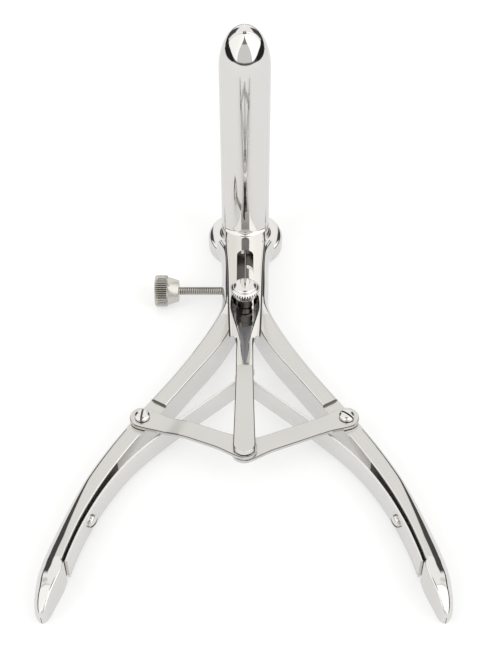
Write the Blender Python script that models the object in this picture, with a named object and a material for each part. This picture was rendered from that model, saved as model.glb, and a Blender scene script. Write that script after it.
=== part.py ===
"""Three-blade rectal speculum lying on its back, blades upright.

Two levers, each one piece from handle to side blade, turn on a stud.  The
third blade is bent from one strip: its arm is slotted for the stud, and two
links pull its tongue back when the handles are squeezed.

The origin is the pivot axis on the table.  +Z is up, along the blades, and
the handles point to -Y.
"""
import math

import bmesh
import bpy
from mathutils import Matrix, Vector

MM = 0.001

# Clearance between pieces that touch or turn on each other
GAP = 0.3 * MM

# Levers
LEVER_HEIGHT = 10.5 * MM
CENTRE_GAP = 0.3 * MM
LOBE_RADIUS = 6.3 * MM
EDGE_BREAK = 0.4 * MM
NECK_CROWN = 1.4 * MM
HEEL_CROWN = 5.2 * MM
CROWN_START = 0.62
CHANNEL_DEPTH = 2.4 * MM

# Tube formed by the three closed blades
TUBE_AXIS_Y = 40.6 * MM
TUBE_RADIUS = 8.6 * MM
BLADE_WALL = 1.2 * MM
BLADE_TOP = 91.0 * MM
NOSE_LENGTH = 15.0 * MM
SEAM_SETBACK = 4.2 * MM
CROWN_SETBACK = 2.9 * MM
CROWN_SHARE = 0.55

# Flared mouth at the foot of the tube
FLANGE_RADIUS = 13.7 * MM
FLANGE_HEIGHT = 6.6 * MM
FLANGE_RIM = 2.4 * MM
FLANGE_FOOT_EDGE = 1.2 * MM
FLARE_RADIUS = 1.2 * MM
MOUTH_RADIUS = 12.2 * MM
MOUTH_DEPTH = 11.5 * MM

# Arm and tongue of the third blade
ARM_THICKNESS = 1.6 * MM
ARM_HALF_WIDTH = 7.1 * MM
ARM_EDGE = 0.7 * MM
FOLD_RADIUS = 1.8 * MM
SHOULDER_Y = -19.9 * MM
SHOULDER_HALF_WIDTH = 5.2 * MM
SHOULDER_SLOPE = 1.2 * MM
TONGUE_HALF_WIDTH = 2.75 * MM
TONGUE_THICKNESS = 1.5 * MM
TONGUE_ROOT_FILLET = 0.5 * MM
TONGUE_END_FLARE = 0.55 * MM
BLUNT_HALF_WIDTH = 0.4 * MM
SLOT_FRONT_Y = 23.6 * MM
SLOT_REAR_Y = -14.7 * MM
FRONT_WEB = 2.4 * MM
VALLEY_DEPTH = 0.8 * MM
TONGUE_LEVEL_Y = -36.2 * MM

# Pivot
STUD_RADIUS = 2.3 * MM
STUD_HEAD_RADIUS = 3.3 * MM
STUD_HEAD_HEIGHT = 0.9 * MM
THREAD_RADIUS = 1.5 * MM
BUSH_RADIUS = 2.6 * MM
NUT_RADIUS = 5.1 * MM
NUT_KNURL_HEIGHT = 2.5 * MM
NUT_DOME_HEIGHT = 1.6 * MM
NUT_CHAMFER = 0.8 * MM
NUT_FOOT_RADIUS = 4.3 * MM
NUT_CLEARANCE = 0.6 * MM
NUT_TEETH = 24
KNURL_DEPTH = 0.35 * MM

# Links between the handles and the tongue
LINK_SCREW_X = 31.3 * MM
LINK_SCREW_Y = -53.4 * MM
TONGUE_PIVOT_Y = -66.6 * MM
LINK_THICKNESS = 1.3 * MM
LINK_EYE_RADIUS = 3.8 * MM
LINK_HALF_WIDTH = 3.0 * MM
LINK_EYE_FLARE = 6.5 * MM
JOGGLE_START = 0.3
JOGGLE_END = 0.42
RECESS_DEPTH = 0.9 * MM
RECESS_TOWARDS_PIVOT = 8.2 * MM
RECESS_TOWARDS_TIP = 6.0 * MM
RECESS_HALF_LENGTH = 8.0 * MM
RIVET_RADIUS = 1.1 * MM
RIVET_PLAY = 1.2 * MM
RIVET_HEAD_RADIUS = 3.0 * MM
RIVET_HEAD_HEIGHT = 0.9 * MM
RIVET_SEAT_SHARE = 0.6
SCREW_HEAD_RADIUS = 2.35 * MM
SCREW_HEAD_HEIGHT = 1.3 * MM
SCREW_SHANK_RADIUS = 1.2 * MM
SCREW_SHANK_DEPTH = 4.4 * MM
SCREW_SLOT_WIDTH = 0.6 * MM
SCREW_SLOT_DEPTH = 0.7 * MM
LEFT_SLOT_TURN = -5
RIGHT_SLOT_TURN = 50

# Leaf springs
SPRING_THICKNESS = 0.8 * MM
SPRING_LOW = 1.0 * MM
SPRING_BELOW_TOP = 1.5 * MM
FORK_HALF_GAP = 1.3 * MM
FORK_LENGTH = 6.0 * MM
SPRING_SCREW_DISTANCE = 16.9 * MM
SPRING_HEAD_RADIUS = 2.1 * MM
SPRING_HEAD_HEIGHT = 1.4 * MM
SPRING_SHANK_RADIUS = 1.0 * MM
SPRING_SHANK_DEPTH = 2.4 * MM

# Thumbscrew that props the levers open
THUMB_Y = 9.5 * MM
THUMB_Z = 5.6 * MM
THUMB_END_X = 31.5 * MM
THUMB_HEAD_RADIUS = 5.5 * MM
THUMB_HEAD_LENGTH = 4.6 * MM
THUMB_SHOULDER_RADIUS = 4.75 * MM
THUMB_NECK_RADIUS = 3.65 * MM
THUMB_NECK_LENGTH = 3.7 * MM
THUMB_CHAMFER = 0.5 * MM
THUMB_TEETH = 30

# Colour and roughness of each finish
POLISHED = ((0.62, 0.61, 0.60), 0.08)
SATIN = ((0.55, 0.54, 0.52), 0.32)
BLUED = ((0.58, 0.57, 0.55), 0.25)
TURNED = ((0.50, 0.49, 0.47), 0.3)

# Plan of a handle: pairs of outer and inner edge points, in mm from the pivot,
# from the flange to the seat of the spring, given for the +X side
HANDLE_PAIRS = (
    ((10.6, 31.6), (-1.0, 31.6)),
    ((8.9, 27.0), (-1.0, 27.0)),
    ((8.3, 20.0), (-1.0, 20.0)),
    ((8.2, 10.0), (-1.0, 10.0)),
    ((8.1, 1.5), (-1.0, 2.0)),
    ((8.9, -3.5), (1.1, -4.5)),
    ((11.2, -9.8), (4.0, -13.0)),
    ((15.9, -20.0), (9.3, -23.8)),
    ((22.7, -32.5), (16.8, -35.9)),
    ((29.4, -43.5), (23.5, -46.7)),
    ((38.4, -58.3), (32.3, -61.0)),
    ((44.0, -68.8), (38.2, -71.5)),
    ((48.4, -78.6), (42.7, -80.8)),
    ((51.9, -88.3), (46.3, -90.1)),
    ((54.6, -97.2), (48.7, -98.4)),
    ((56.1, -103.2), (50.0, -103.9)),
)

# The heel beyond the spring's end: outer and inner edge, height of the
# underside, and depth of the top below the lever's top, at each place
HEEL = (
    ((56.2, -104.0), (49.3, -104.8), 0.0, 0.0),
    ((56.7, -107.2), (49.8, -107.7), 0.0, 0.1),
    ((56.8, -110.6), (50.8, -110.8), 0.0, 0.6),
    ((56.8, -113.4), (51.8, -113.6), 0.0, 1.4),
    ((56.5, -115.9), (52.6, -116.0), 0.2, 2.7),
    ((56.0, -117.6), (53.3, -117.7), 0.7, 4.2),
    ((55.2, -118.6), (54.2, -118.6), 1.7, 5.9),
)

# Run of a leaf spring's middle line from its heel end towards the centre
SPRING_PATH = (
    (49.0, -103.6),
    (48.1, -99.4),
    (45.8, -91.4),
    (42.2, -82.2),
    (37.6, -73.4),
    (33.1, -66.8),
    (27.6, -60.4),
    (19.7, -52.3),
    (8.4, -41.7),
    (-2.9, -31.1),
)

# Foot of the third blade: height above the fold and half width, in mm
TROUGH_FOOT = (
    (12.0, 7.6),
    (4.0, 7.2),
)

# The slotted arm from the slot's front web to its square shoulders: share of
# the way, share of the narrowing, lift towards the tongue's level, valley
# half width in mm, and share of the valley's depth
ARM_RUN = (
    (0.0, 0.0, 0.0, 3.0, 0.0),
    (0.27, 0.4, 0.0, 4.0, 0.0),
    (0.49, 0.55, 0.0, 4.6, 0.0),
    (0.58, 0.6, 0.0, 4.8, 0.4),
    (0.69, 0.7, 0.0, 4.7, 1.0),
    (0.81, 0.8, 0.0, 4.1, 1.1),
    (0.92, 0.9, 0.02, 3.1, 1.1),
    (1.0, 1.0, 0.08, 2.3, 1.0),
)

# The tongue as it rises over the links: share of the way, lift, valley half
# width in mm, and share of the valley's depth
TONGUE_RUN = (
    (0.02, 0.13, 1.9, 1.0),
    (0.18, 0.3, 1.3, 0.8),
    (0.49, 0.66, 1.1, 0.6),
    (0.79, 0.92, 0.6, 0.25),
    (1.0, 1.0, 0.5, 0.0),
)

ARM_UNDERSIDE = LEVER_HEIGHT + GAP
ARM_TOP = ARM_UNDERSIDE + ARM_THICKNESS
NOSE_START = BLADE_TOP - NOSE_LENGTH
BORE_RADIUS = TUBE_RADIUS - BLADE_WALL
LINK_UNDERSIDE = LEVER_HEIGHT - RECESS_DEPTH + GAP
LINK_TOP = LINK_UNDERSIDE + LINK_THICKNESS
JOGGLE = LINK_THICKNESS + GAP
TONGUE_UNDERSIDE = LINK_TOP + JOGGLE + GAP
TONGUE_TOP = TONGUE_UNDERSIDE + TONGUE_THICKNESS
NUT_UNDERSIDE = ARM_TOP + NUT_CLEARANCE
STUD_TOP = NUT_UNDERSIDE + NUT_KNURL_HEIGHT
LOBE_SPLIT = LEVER_HEIGHT / 2
SPRING_HIGH = LEVER_HEIGHT - SPRING_BELOW_TOP
SPRING_MIDDLE = (SPRING_LOW + SPRING_HIGH) / 2
FAR = 200 * MM
HAIRLINE = 0.004 * MM
FLAT_ANGLE = math.radians(0.05)
SHARP_ANGLE = math.radians(35)


def clear_scene():
    for item in list(bpy.data.objects):
        bpy.data.objects.remove(item)


def material(name, colour, roughness, metallic=1.0):
    made = bpy.data.materials.new(name)
    made.use_nodes = True
    shader = made.node_tree.nodes["Principled BSDF"]
    shader.inputs["Base Color"].default_value = (*colour, 1.0)
    shader.inputs["Roughness"].default_value = roughness
    shader.inputs["Metallic"].default_value = metallic
    return made


def solid(name, points, faces):
    """Object with a closed mesh whose faces point outwards."""
    mesh = bpy.data.meshes.new(name)
    mesh.from_pydata([tuple(point) for point in points], [], faces)
    work = bmesh.new()
    work.from_mesh(mesh)
    bmesh.ops.remove_doubles(work, verts=work.verts, dist=1e-7)
    bmesh.ops.recalc_face_normals(work, faces=work.faces)
    bmesh.ops.triangulate(work, faces=work.faces)
    work.to_mesh(mesh)
    work.free()
    item = bpy.data.objects.new(name, mesh)
    bpy.context.scene.collection.objects.link(item)
    return item


def loft(name, rings):
    """Solid through rings of equal point count, with flat ends."""
    count = len(rings[0])
    points = [point for ring in rings for point in ring]
    faces = [tuple(range(count)), tuple(range(len(points) - count, len(points)))]
    for row in range(len(rings) - 1):
        for column in range(count):
            after = (column + 1) % count
            low = row * count
            high = low + count
            faces.append((low + column, low + after, high + after, high + column))
    return solid(name, points, faces)


def prism(name, outline, low, high):
    """Outline in plan, extruded from one height to another."""
    rings = [[Vector((x, y, z)) for x, y in outline] for z in (low, high)]
    return loft(name, rings)


def side_prism(name, outline, half_width):
    """Outline in the YZ plane, extruded along X to both sides."""
    rings = [[Vector((x, y, z)) for y, z in outline] for x in (-half_width, half_width)]
    return loft(name, rings)


def turned(name, profile, steps, frame=Matrix(), teeth=0, depth=0.0):
    """Profile of (radius, height) pairs from axis to axis, turned about Z.

    A profile point with a third entry is cut by the knurl's teeth.
    """
    if teeth:
        steps = 2 * teeth
    points, rings = [], []
    for station in profile:
        radius, height = station[0], station[1]
        if radius == 0:
            rings.append([len(points)])
            points.append(frame @ Vector((0, 0, height)))
            continue
        ring = []
        for step in range(steps):
            angle = 2 * math.pi * step / steps
            cut = depth if len(station) > 2 and step % 2 else 0.0
            ring.append(len(points))
            across = (radius - cut) * math.cos(angle)
            along = (radius - cut) * math.sin(angle)
            points.append(frame @ Vector((across, along, height)))
        rings.append(ring)
    faces = []
    for first, second in zip(rings, rings[1:]):
        for step in range(steps):
            after = (step + 1) % steps
            corners = [first[step % len(first)], first[after % len(first)]]
            corners += [second[after % len(second)], second[step % len(second)]]
            faces.append(tuple(dict.fromkeys(corners)))
    return solid(name, points, [face for face in faces if len(face) > 2])


def disc(name, radius, low, high, x=0.0, y=0.0, steps=40):
    profile = ((0, low), (radius, low), (radius, high), (0, high))
    return turned(name, profile, steps, Matrix.Translation((x, y, 0)))


def tidy(mesh):
    """Close hairline slits and merge the flat faces that a cut leaves behind."""
    work = bmesh.new()
    work.from_mesh(mesh)
    bmesh.ops.remove_doubles(work, verts=work.verts, dist=HAIRLINE)
    bmesh.ops.dissolve_degenerate(work, edges=work.edges, dist=HAIRLINE)
    bmesh.ops.dissolve_limit(work, angle_limit=FLAT_ANGLE, verts=work.verts, edges=work.edges)
    bmesh.ops.triangulate(work, faces=work.faces)
    work.to_mesh(mesh)
    work.free()


def boolean(target, tool, operation):
    """Apply a Boolean with a tool, which is used up."""
    modifier = target.modifiers.new(operation, "BOOLEAN")
    modifier.operation = operation
    modifier.solver = "EXACT"
    modifier.object = tool
    bpy.context.view_layer.update()
    evaluated = target.evaluated_get(bpy.context.evaluated_depsgraph_get())
    result = bpy.data.meshes.new_from_object(evaluated)
    target.modifiers.remove(modifier)
    old = target.data
    target.data = result
    bpy.data.meshes.remove(old)
    bpy.data.objects.remove(tool)
    tidy(result)


def cut(target, tool):
    boolean(target, tool, "DIFFERENCE")


def join(target, tool):
    boolean(target, tool, "UNION")


def smooth_run(points, per_span):
    """Points along a Catmull-Rom curve through the given ones."""
    vectors = [Vector(point) for point in points]
    padded = [2 * vectors[0] - vectors[1]] + vectors + [2 * vectors[-1] - vectors[-2]]
    run = []
    for index in range(1, len(padded) - 2):
        before, start, end, after = padded[index - 1:index + 3]
        for step in range(per_span):
            t = step / per_span
            run.append(0.5 * (
                2 * start + (end - before) * t
                + (2 * before - 5 * start + 4 * end - after) * t ** 2
                + (3 * start - before - 3 * end + after) * t ** 3
            ))
    run.append(vectors[-1])
    return run


def bar_ring(side, outer, inner, low, high, bulge, arc=6):
    """Section of a handle: flat inside, top and underside, rounded outside."""
    outer = Vector((side * outer[0], outer[1], 0))
    inner = Vector((side * inner[0], inner[1], 0))
    across = outer - inner
    width = across.length
    across.normalize()
    bulge = min(bulge, 0.85 * width)
    half = (high - low) / 2
    middle = (high + low) / 2
    edge = min(EDGE_BREAK, 0.3 * width, 0.3 * half)
    ring = [inner + Vector((0, 0, low + edge)), inner + Vector((0, 0, high - edge))]
    ring.append(inner + edge * across + Vector((0, 0, high)))
    for step in range(arc + 1):
        angle = math.pi / 2 - math.pi * step / arc
        reach = width - bulge + bulge * max(math.cos(angle), 0.0)
        ring.append(inner + reach * across + Vector((0, 0, middle + half * math.sin(angle))))
    ring.append(inner + edge * across + Vector((0, 0, low)))
    return ring


def handle_bar(side, per_span=2):
    """Handle, neck and heel as one bar."""
    pairs = [(*outer, *inner) for outer, inner in HANDLE_PAIRS]
    run = smooth_run([Vector(pair) for pair in pairs], per_span)
    rings = []
    for place, (ox, oy, ix, iy) in enumerate(run):
        share = place / (len(run) - 1)
        rise = max(share - CROWN_START, 0.0) / (1 - CROWN_START)
        bulge = NECK_CROWN + (HEEL_CROWN - NECK_CROWN) * rise
        outer = (ox * MM, oy * MM)
        inner = (ix * MM, iy * MM)
        rings.append(bar_ring(side, outer, inner, 0.0, LEVER_HEIGHT, bulge))
    for (ox, oy), (ix, iy), low, depth in HEEL:
        outer = (ox * MM, oy * MM)
        inner = (ix * MM, iy * MM)
        rings.append(bar_ring(side, outer, inner, low * MM, LEVER_HEIGHT - depth * MM, HEEL_CROWN))
    return loft("handle_bar", rings)


def nose(radius, start, length, steps=7):
    """Rounded nose of a turned tube, from its start to its tip."""
    angles = [math.pi / 2 * step / steps for step in range(steps + 1)]
    points = [(radius * math.cos(angle), start + length * math.sin(angle)) for angle in angles]
    points[-1] = (0, start + length)
    return points


def rounding(centre, radii, first, last, steps=4):
    """Arc in a profile about a centre, angles in degrees."""
    run = []
    for step in range(steps + 1):
        angle = math.radians(first + (last - first) * step / steps)
        run.append((centre[0] + radii[0] * math.cos(angle), centre[1] + radii[1] * math.sin(angle)))
    return run


def tube_frame():
    return Matrix.Translation((0, TUBE_AXIS_Y, 0))


def tube_with_flange(steps=32):
    rim, foot, flare = FLANGE_RIM, FLANGE_FOOT_EDGE, FLARE_RADIUS
    profile = [(0, 0), (FLANGE_RADIUS - foot, 0)]
    profile += rounding((FLANGE_RADIUS - foot, foot), (foot, foot), -90, 0)[1:]
    profile += rounding((FLANGE_RADIUS - rim, FLANGE_HEIGHT - rim), (rim, rim), 0, 90, 6)
    flare_centre = (TUBE_RADIUS + flare, FLANGE_HEIGHT + flare)
    profile += rounding(flare_centre, (flare, flare), -90, -180, 5)
    profile += nose(TUBE_RADIUS, NOSE_START, NOSE_LENGTH)
    return turned("tube", profile, steps, tube_frame())


def bore(steps=32):
    """Space inside the side blades, widening to the mouth."""
    flare = MOUTH_RADIUS - BORE_RADIUS
    profile = [(0, -GAP), (MOUTH_RADIUS, -GAP)]
    profile += rounding((MOUTH_RADIUS, MOUTH_DEPTH), (flare, MOUTH_DEPTH), -90, -180, 6)
    profile += nose(BORE_RADIUS, NOSE_START, NOSE_LENGTH - BLADE_WALL)
    return turned("bore", profile, steps, tube_frame())


def front_region(shift):
    """Side view of the space of the third blade, its seams moved by a shift."""
    seam = TUBE_AXIS_Y - SEAM_SETBACK + shift
    crown = TUBE_AXIS_Y - CROWN_SETBACK + shift
    crown_z = NOSE_START + CROWN_SHARE * NOSE_LENGTH
    low = LEVER_HEIGHT
    return (
        (-FAR, low), (seam, low), (seam, NOSE_START), (crown, crown_z), (crown, FAR), (-FAR, FAR),
    )


def handle_direction(side):
    """Unit vector along the handle at the link screw, towards the tip."""
    (ax, ay), (bx, by) = HANDLE_PAIRS[9][0], HANDLE_PAIRS[10][0]
    return Vector((side * (bx - ax), by - ay)).normalized()


def recess(side):
    """Flat seat across the handle's top for the eye of its link."""
    along = handle_direction(side)
    across = Vector((-along.y, along.x))
    centre = Vector((side * LINK_SCREW_X, LINK_SCREW_Y))
    reach = RECESS_HALF_LENGTH * across
    tip_end = centre + RECESS_TOWARDS_TIP * along
    pivot_end = centre - RECESS_TOWARDS_PIVOT * along
    corners = (tip_end + reach, tip_end - reach, pivot_end - reach, pivot_end + reach)
    outline = [tuple(corner) for corner in corners]
    return prism("recess", outline, LEVER_HEIGHT - RECESS_DEPTH, FAR)


def spring_run(side, per_span=4):
    run = smooth_run(SPRING_PATH, per_span)
    return [Vector((side * point[0] * MM, point[1] * MM)) for point in run]


def along_run(run, distance):
    """Point and direction at a distance from the start of a run."""
    for start, end in zip(run, run[1:]):
        span = (end - start).length
        if distance <= span:
            return start + (end - start) * (distance / span), (end - start).normalized()
        distance -= span
    return run[-1], (run[-1] - run[-2]).normalized()


def spring_screw_frame(side):
    """Frame at the spring's mid-face: Z points away from the handle."""
    point, direction = along_run(spring_run(side), SPRING_SCREW_DISTANCE)
    inward = Vector((-direction.y, direction.x, 0)) * side
    up = Vector((0, 0, 1))
    sideways = up.cross(inward)
    frame = Matrix((sideways, up, inward)).transposed().to_4x4()
    frame.translation = (point.x, point.y, SPRING_MIDDLE)
    return frame


def thumb_frame():
    """Frame whose Z runs along the thumbscrew towards the right lever."""
    frame = Matrix.Rotation(math.pi / 2, 4, "Y")
    frame.translation = (0, THUMB_Y, THUMB_Z)
    return frame


def lever(side, name, lobe, clearing):
    """Side blade, half flange, neck and handle in one piece.

    The lobe is the height range of the piece's own half of the lap joint, and
    the clearing is the range that the other lever's lobe turns in.
    """
    body = handle_bar(side)
    join(body, tube_with_flange())
    cut(body, bore())
    cut(body, side_prism("front", front_region(GAP), FAR))
    half = CENTRE_GAP / 2
    beyond = [(side * half, -LOBE_RADIUS), (-side * FAR, -LOBE_RADIUS)]
    beyond += [(-side * FAR, FAR), (side * half, FAR)]
    cut(body, prism("other_half", beyond, -FAR, FAR))
    cut(body, disc("clearing", LOBE_RADIUS + GAP, *clearing))
    join(body, disc("lobe", LOBE_RADIUS, *lobe))
    cut(body, disc("stud_hole", STUD_RADIUS + GAP, -FAR, FAR))
    cut(body, slot(LEVER_HEIGHT - CHANNEL_DEPTH))
    cut(body, disc("head_hole", STUD_HEAD_RADIUS + GAP, -FAR, STUD_HEAD_HEIGHT + GAP))
    cut(body, recess(side))
    screw_hole = SCREW_SHANK_RADIUS + GAP
    hole_floor = LEVER_HEIGHT - RECESS_DEPTH - SCREW_SHANK_DEPTH - GAP
    place = (side * LINK_SCREW_X, LINK_SCREW_Y)
    cut(body, disc("link_hole", screw_hole, hole_floor, FAR, *place, steps=20))
    shank = SPRING_SHANK_RADIUS + GAP
    depth = SPRING_SHANK_DEPTH + SPRING_THICKNESS / 2 + GAP
    profile = ((0, -depth), (shank, -depth), (shank, 0), (0, 0))
    cut(body, turned("spring_hole", profile, 16, spring_screw_frame(side)))
    body.name = name
    return body


def left_lever():
    lobe = (0.0, LOBE_SPLIT - GAP / 2)
    clearing = (LOBE_SPLIT - GAP / 2, FAR)
    body = lever(-1, "left_lever", lobe, clearing)
    hole = THREAD_RADIUS + GAP
    outside = -THUMB_END_X
    profile = ((0, outside), (hole, outside), (hole, 0), (0, 0))
    cut(body, turned("thumb_hole", profile, 24, thumb_frame()))
    return body


def right_lever():
    lobe = (LOBE_SPLIT + GAP / 2, LEVER_HEIGHT)
    clearing = (-FAR, LOBE_SPLIT + GAP / 2)
    return lever(1, "right_lever", lobe, clearing)


def seam_y(z):
    """Where the third blade's edges lie at a height, measured from the tube's axis."""
    crown = NOSE_START + CROWN_SHARE * NOSE_LENGTH
    share = min(max((z - NOSE_START) / (crown - NOSE_START), 0.0), 1.0)
    return -SEAM_SETBACK + (SEAM_SETBACK - CROWN_SETBACK) * share


def trough_side(radius, z, half_width, columns):
    """Points across one side of the trough, from edge to edge, at one height."""
    setback = max(-seam_y(z), math.sqrt(max(radius ** 2 - half_width ** 2, 0.0)))
    reach = math.acos(min(setback / radius, 1.0))
    row = []
    for column in range(-columns, columns + 1):
        angle = reach * column / columns
        row.append(Vector((radius * math.sin(angle), TUBE_AXIS_Y - radius * math.cos(angle), z)))
    return row


def trough_inside(outer, radius, z, columns):
    """Points across the inside of the trough, its edges level with the outer ones."""
    setback = TUBE_AXIS_Y - outer[0].y
    if radius < setback:
        return [Vector((0.0, outer[0].y, z)) for _ in outer]
    reach = math.acos(setback / radius)
    row = []
    for column in range(-columns, columns + 1):
        angle = reach * column / columns
        row.append(Vector((radius * math.sin(angle), TUBE_AXIS_Y - radius * math.cos(angle), z)))
    return row


def trough_rows(columns, nose_steps=7):
    """Outer and inner rows of the trough, from the tip down to the fold."""
    wide = TUBE_RADIUS
    last = math.acos(CROWN_SETBACK / TUBE_RADIUS)
    for step in range(nose_steps, 0, -1):
        angle = last * step / nose_steps
        share = math.cos(angle)
        z = NOSE_START + NOSE_LENGTH * math.sin(angle)
        inner_z = NOSE_START + (NOSE_LENGTH - BLADE_WALL) * math.sin(angle)
        outer = trough_side(TUBE_RADIUS * share, z, wide, columns)
        yield outer, trough_inside(outer, BORE_RADIUS * share, inner_z, columns)
    fold_z = ARM_TOP + FOLD_RADIUS
    foot = [(NOSE_START, wide), (NOSE_START / 2, wide)]
    foot += [(fold_z + height * MM, half_width * MM) for height, half_width in TROUGH_FOOT]
    foot.append((fold_z, ARM_HALF_WIDTH))
    for z, half_width in foot:
        outer = trough_side(TUBE_RADIUS, z, half_width, columns)
        yield outer, trough_inside(outer, BORE_RADIUS, z, columns)


def fold_rows(outer, inner, steps=4):
    """Rows round the fold, from the foot of the trough to the flat arm."""
    for step in range(1, steps + 1):
        angle = math.pi / 2 * step / steps
        along, down = math.cos(angle), math.sin(angle)
        centre_z = ARM_TOP + FOLD_RADIUS
        upper, lower = [], []
        for top, under in zip(outer, inner):
            centre_y = top.y - FOLD_RADIUS
            upper.append(Vector((top.x, centre_y + FOLD_RADIUS * along, centre_z - FOLD_RADIUS * down)))
            wall = under.y - top.y
            lower.append(Vector((
                under.x + (top.x - under.x) * down,
                centre_y + (FOLD_RADIUS + wall) * along,
                centre_z - (FOLD_RADIUS + ARM_THICKNESS) * down,
            )))
        yield upper, lower


def arm_stations(end_steps=6):
    """Places along the arm: y, half width, lift, valley half width and depth."""
    wide, shoulder, narrow = ARM_HALF_WIDTH, SHOULDER_HALF_WIDTH, TONGUE_HALF_WIDTH
    front, back = SLOT_FRONT_Y + FRONT_WEB, SHOULDER_Y + SHOULDER_SLOPE
    stations = []
    for share, narrowing, lift, valley, deep in ARM_RUN:
        half = wide + (shoulder - wide) * narrowing
        stations.append((front + (back - front) * share, half, lift, valley * MM, deep))
    stations.append((SHOULDER_Y, shoulder - EDGE_BREAK / 4, 0.12, 2.0 * MM, 1.0))
    for share, lift, valley, deep in TONGUE_RUN:
        y = SHOULDER_Y + (TONGUE_LEVEL_Y - SHOULDER_Y) * share
        half = narrow + (TONGUE_ROOT_FILLET if share == TONGUE_RUN[0][0] else 0.0)
        stations.append((y, half, lift, valley * MM, deep))
    end = narrow + TONGUE_END_FLARE
    last = TONGUE_RUN[-1][2] * MM
    stations.append(((TONGUE_LEVEL_Y + TONGUE_PIVOT_Y) / 2, (narrow + end) / 2, 1.0, last, 0.0))
    for step in range(end_steps + 1):
        angle = math.pi / 2 * step / end_steps
        y = TONGUE_PIVOT_Y - end * math.sin(angle)
        half = max(end * math.cos(angle), BLUNT_HALF_WIDTH)
        stations.append((y, half, 1.0, last, 0.0))
    return stations


def arm_rows():
    """Upper and lower rows of the slotted arm, its shoulders and the tongue."""
    for y, half, lift, valley, deep in arm_stations():
        top = ARM_TOP + (TONGUE_TOP - ARM_TOP) * lift
        thick = ARM_THICKNESS + (TONGUE_THICKNESS - ARM_THICKNESS) * lift
        edge = min(ARM_EDGE, 0.4 * half, 0.45 * thick)
        valley = min(valley, half - 1.5 * edge)
        deep *= VALLEY_DEPTH
        side = [(half, edge), (half - 0.3 * edge, 0.3 * edge), (half - edge, 0.0)]
        side += [(valley, 0.0), (0.55 * valley, 0.7 * deep)]
        across = [(-x, drop) for x, drop in side] + [(0.0, deep)] + side[::-1]
        yield (
            [Vector((x, y, top - drop)) for x, drop in across],
            [Vector((x, y, top - thick)) for x, drop in across],
        )


def slot(floor, steps=10):
    """Long hole that the bush runs in, open upwards from its floor."""
    half = BUSH_RADIUS + GAP
    outline = []
    for centre, start in ((SLOT_FRONT_Y - half, 0), (SLOT_REAR_Y + half, math.pi)):
        for step in range(steps + 1):
            angle = start + math.pi * step / steps
            outline.append((half * math.cos(angle), centre + half * math.sin(angle)))
    return prism("slot", outline, floor, FAR)


def third_blade():
    """Trough blade, fold, slotted arm and tongue in one piece."""
    columns = 5
    rows = list(trough_rows(columns))
    rows += list(fold_rows(*rows[-1]))
    rows += list(arm_rows())
    body = loft("third_blade", [upper + lower[::-1] for upper, lower in rows])
    cut(body, slot(0.0))
    seat_top = TONGUE_UNDERSIDE + RIVET_SEAT_SHARE * TONGUE_THICKNESS
    cut(body, disc("rivet_seat", RIVET_RADIUS + GAP, 0, seat_top, 0, TONGUE_PIVOT_Y, 16))
    return body


def link(side, name, joggle, eye_steps=8):
    """Flat link with an eye at each end, bent up where it passes the other."""
    start = Vector((side * LINK_SCREW_X, LINK_SCREW_Y))
    end = Vector((0, TONGUE_PIVOT_Y))
    length = (end - start).length
    along = (end - start) / length
    across = Vector((-along.y, along.x))
    eye, flare = LINK_EYE_RADIUS, LINK_EYE_FLARE
    turn = [math.pi / 2 * step / eye_steps for step in range(eye_steps + 1)]
    ease = [0.5 - 0.5 * math.cos(math.pi * step / 3) for step in range(4)]
    places = [(-eye * math.cos(angle), eye * math.sin(angle)) for angle in turn]
    for step in (1, 2, 3):
        places.append((flare * step / 3, eye + (LINK_HALF_WIDTH - eye) * ease[step]))
    for share in (JOGGLE_START, (JOGGLE_START + JOGGLE_END) / 2, JOGGLE_END):
        places.append((share * length, LINK_HALF_WIDTH))
    for step in (0, 1, 2):
        half = LINK_HALF_WIDTH + (eye - LINK_HALF_WIDTH) * ease[step]
        places.append((length - flare * (1 - step / 3), half))
    places += [(length + eye * math.cos(angle), eye * math.sin(angle)) for angle in turn[::-1]]
    rings = []
    for reach, half in places:
        half = max(half, BLUNT_HALF_WIDTH)
        share = (reach / length - JOGGLE_START) / (JOGGLE_END - JOGGLE_START)
        low = LINK_UNDERSIDE + joggle * min(max(share, 0.0), 1.0)
        high = low + LINK_THICKNESS
        middle = start + along * reach
        ring = []
        for offset, height in ((-half, low), (half, low), (half, high), (-half, high)):
            spot = middle + across * offset
            ring.append(Vector((spot.x, spot.y, height)))
        rings.append(ring)
    body = loft(name, rings)
    cut(body, disc("screw_eye", SCREW_SHANK_RADIUS + GAP, 0, FAR, start.x, start.y, 24))
    cut(body, disc("rivet_eye", RIVET_RADIUS + RIVET_PLAY, 0, FAR, end.x, end.y, 24))
    return body


def screw_slot(frame, top, angle):
    """Block that cuts a screwdriver slot across a head."""
    half, reach = SCREW_SLOT_WIDTH / 2, 2 * SCREW_HEAD_RADIUS
    place = frame @ Matrix.Rotation(angle, 4, "Z")
    plan = ((-half, -reach), (half, -reach), (half, reach), (-half, reach))
    heights = (top - SCREW_SLOT_DEPTH, top + reach)
    return loft("slot", [[place @ Vector((x, y, z)) for x, y in plan] for z in heights])


def round_head(radius, low, height, steps=4):
    """Domed head with a short upright edge."""
    edge = 0.35 * height
    run = [(radius, low), (radius, low + edge)]
    run += rounding((0, low + edge), (radius, height - edge), 0, 90, steps)[1:-1]
    return run + [(0, low + height)]


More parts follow.
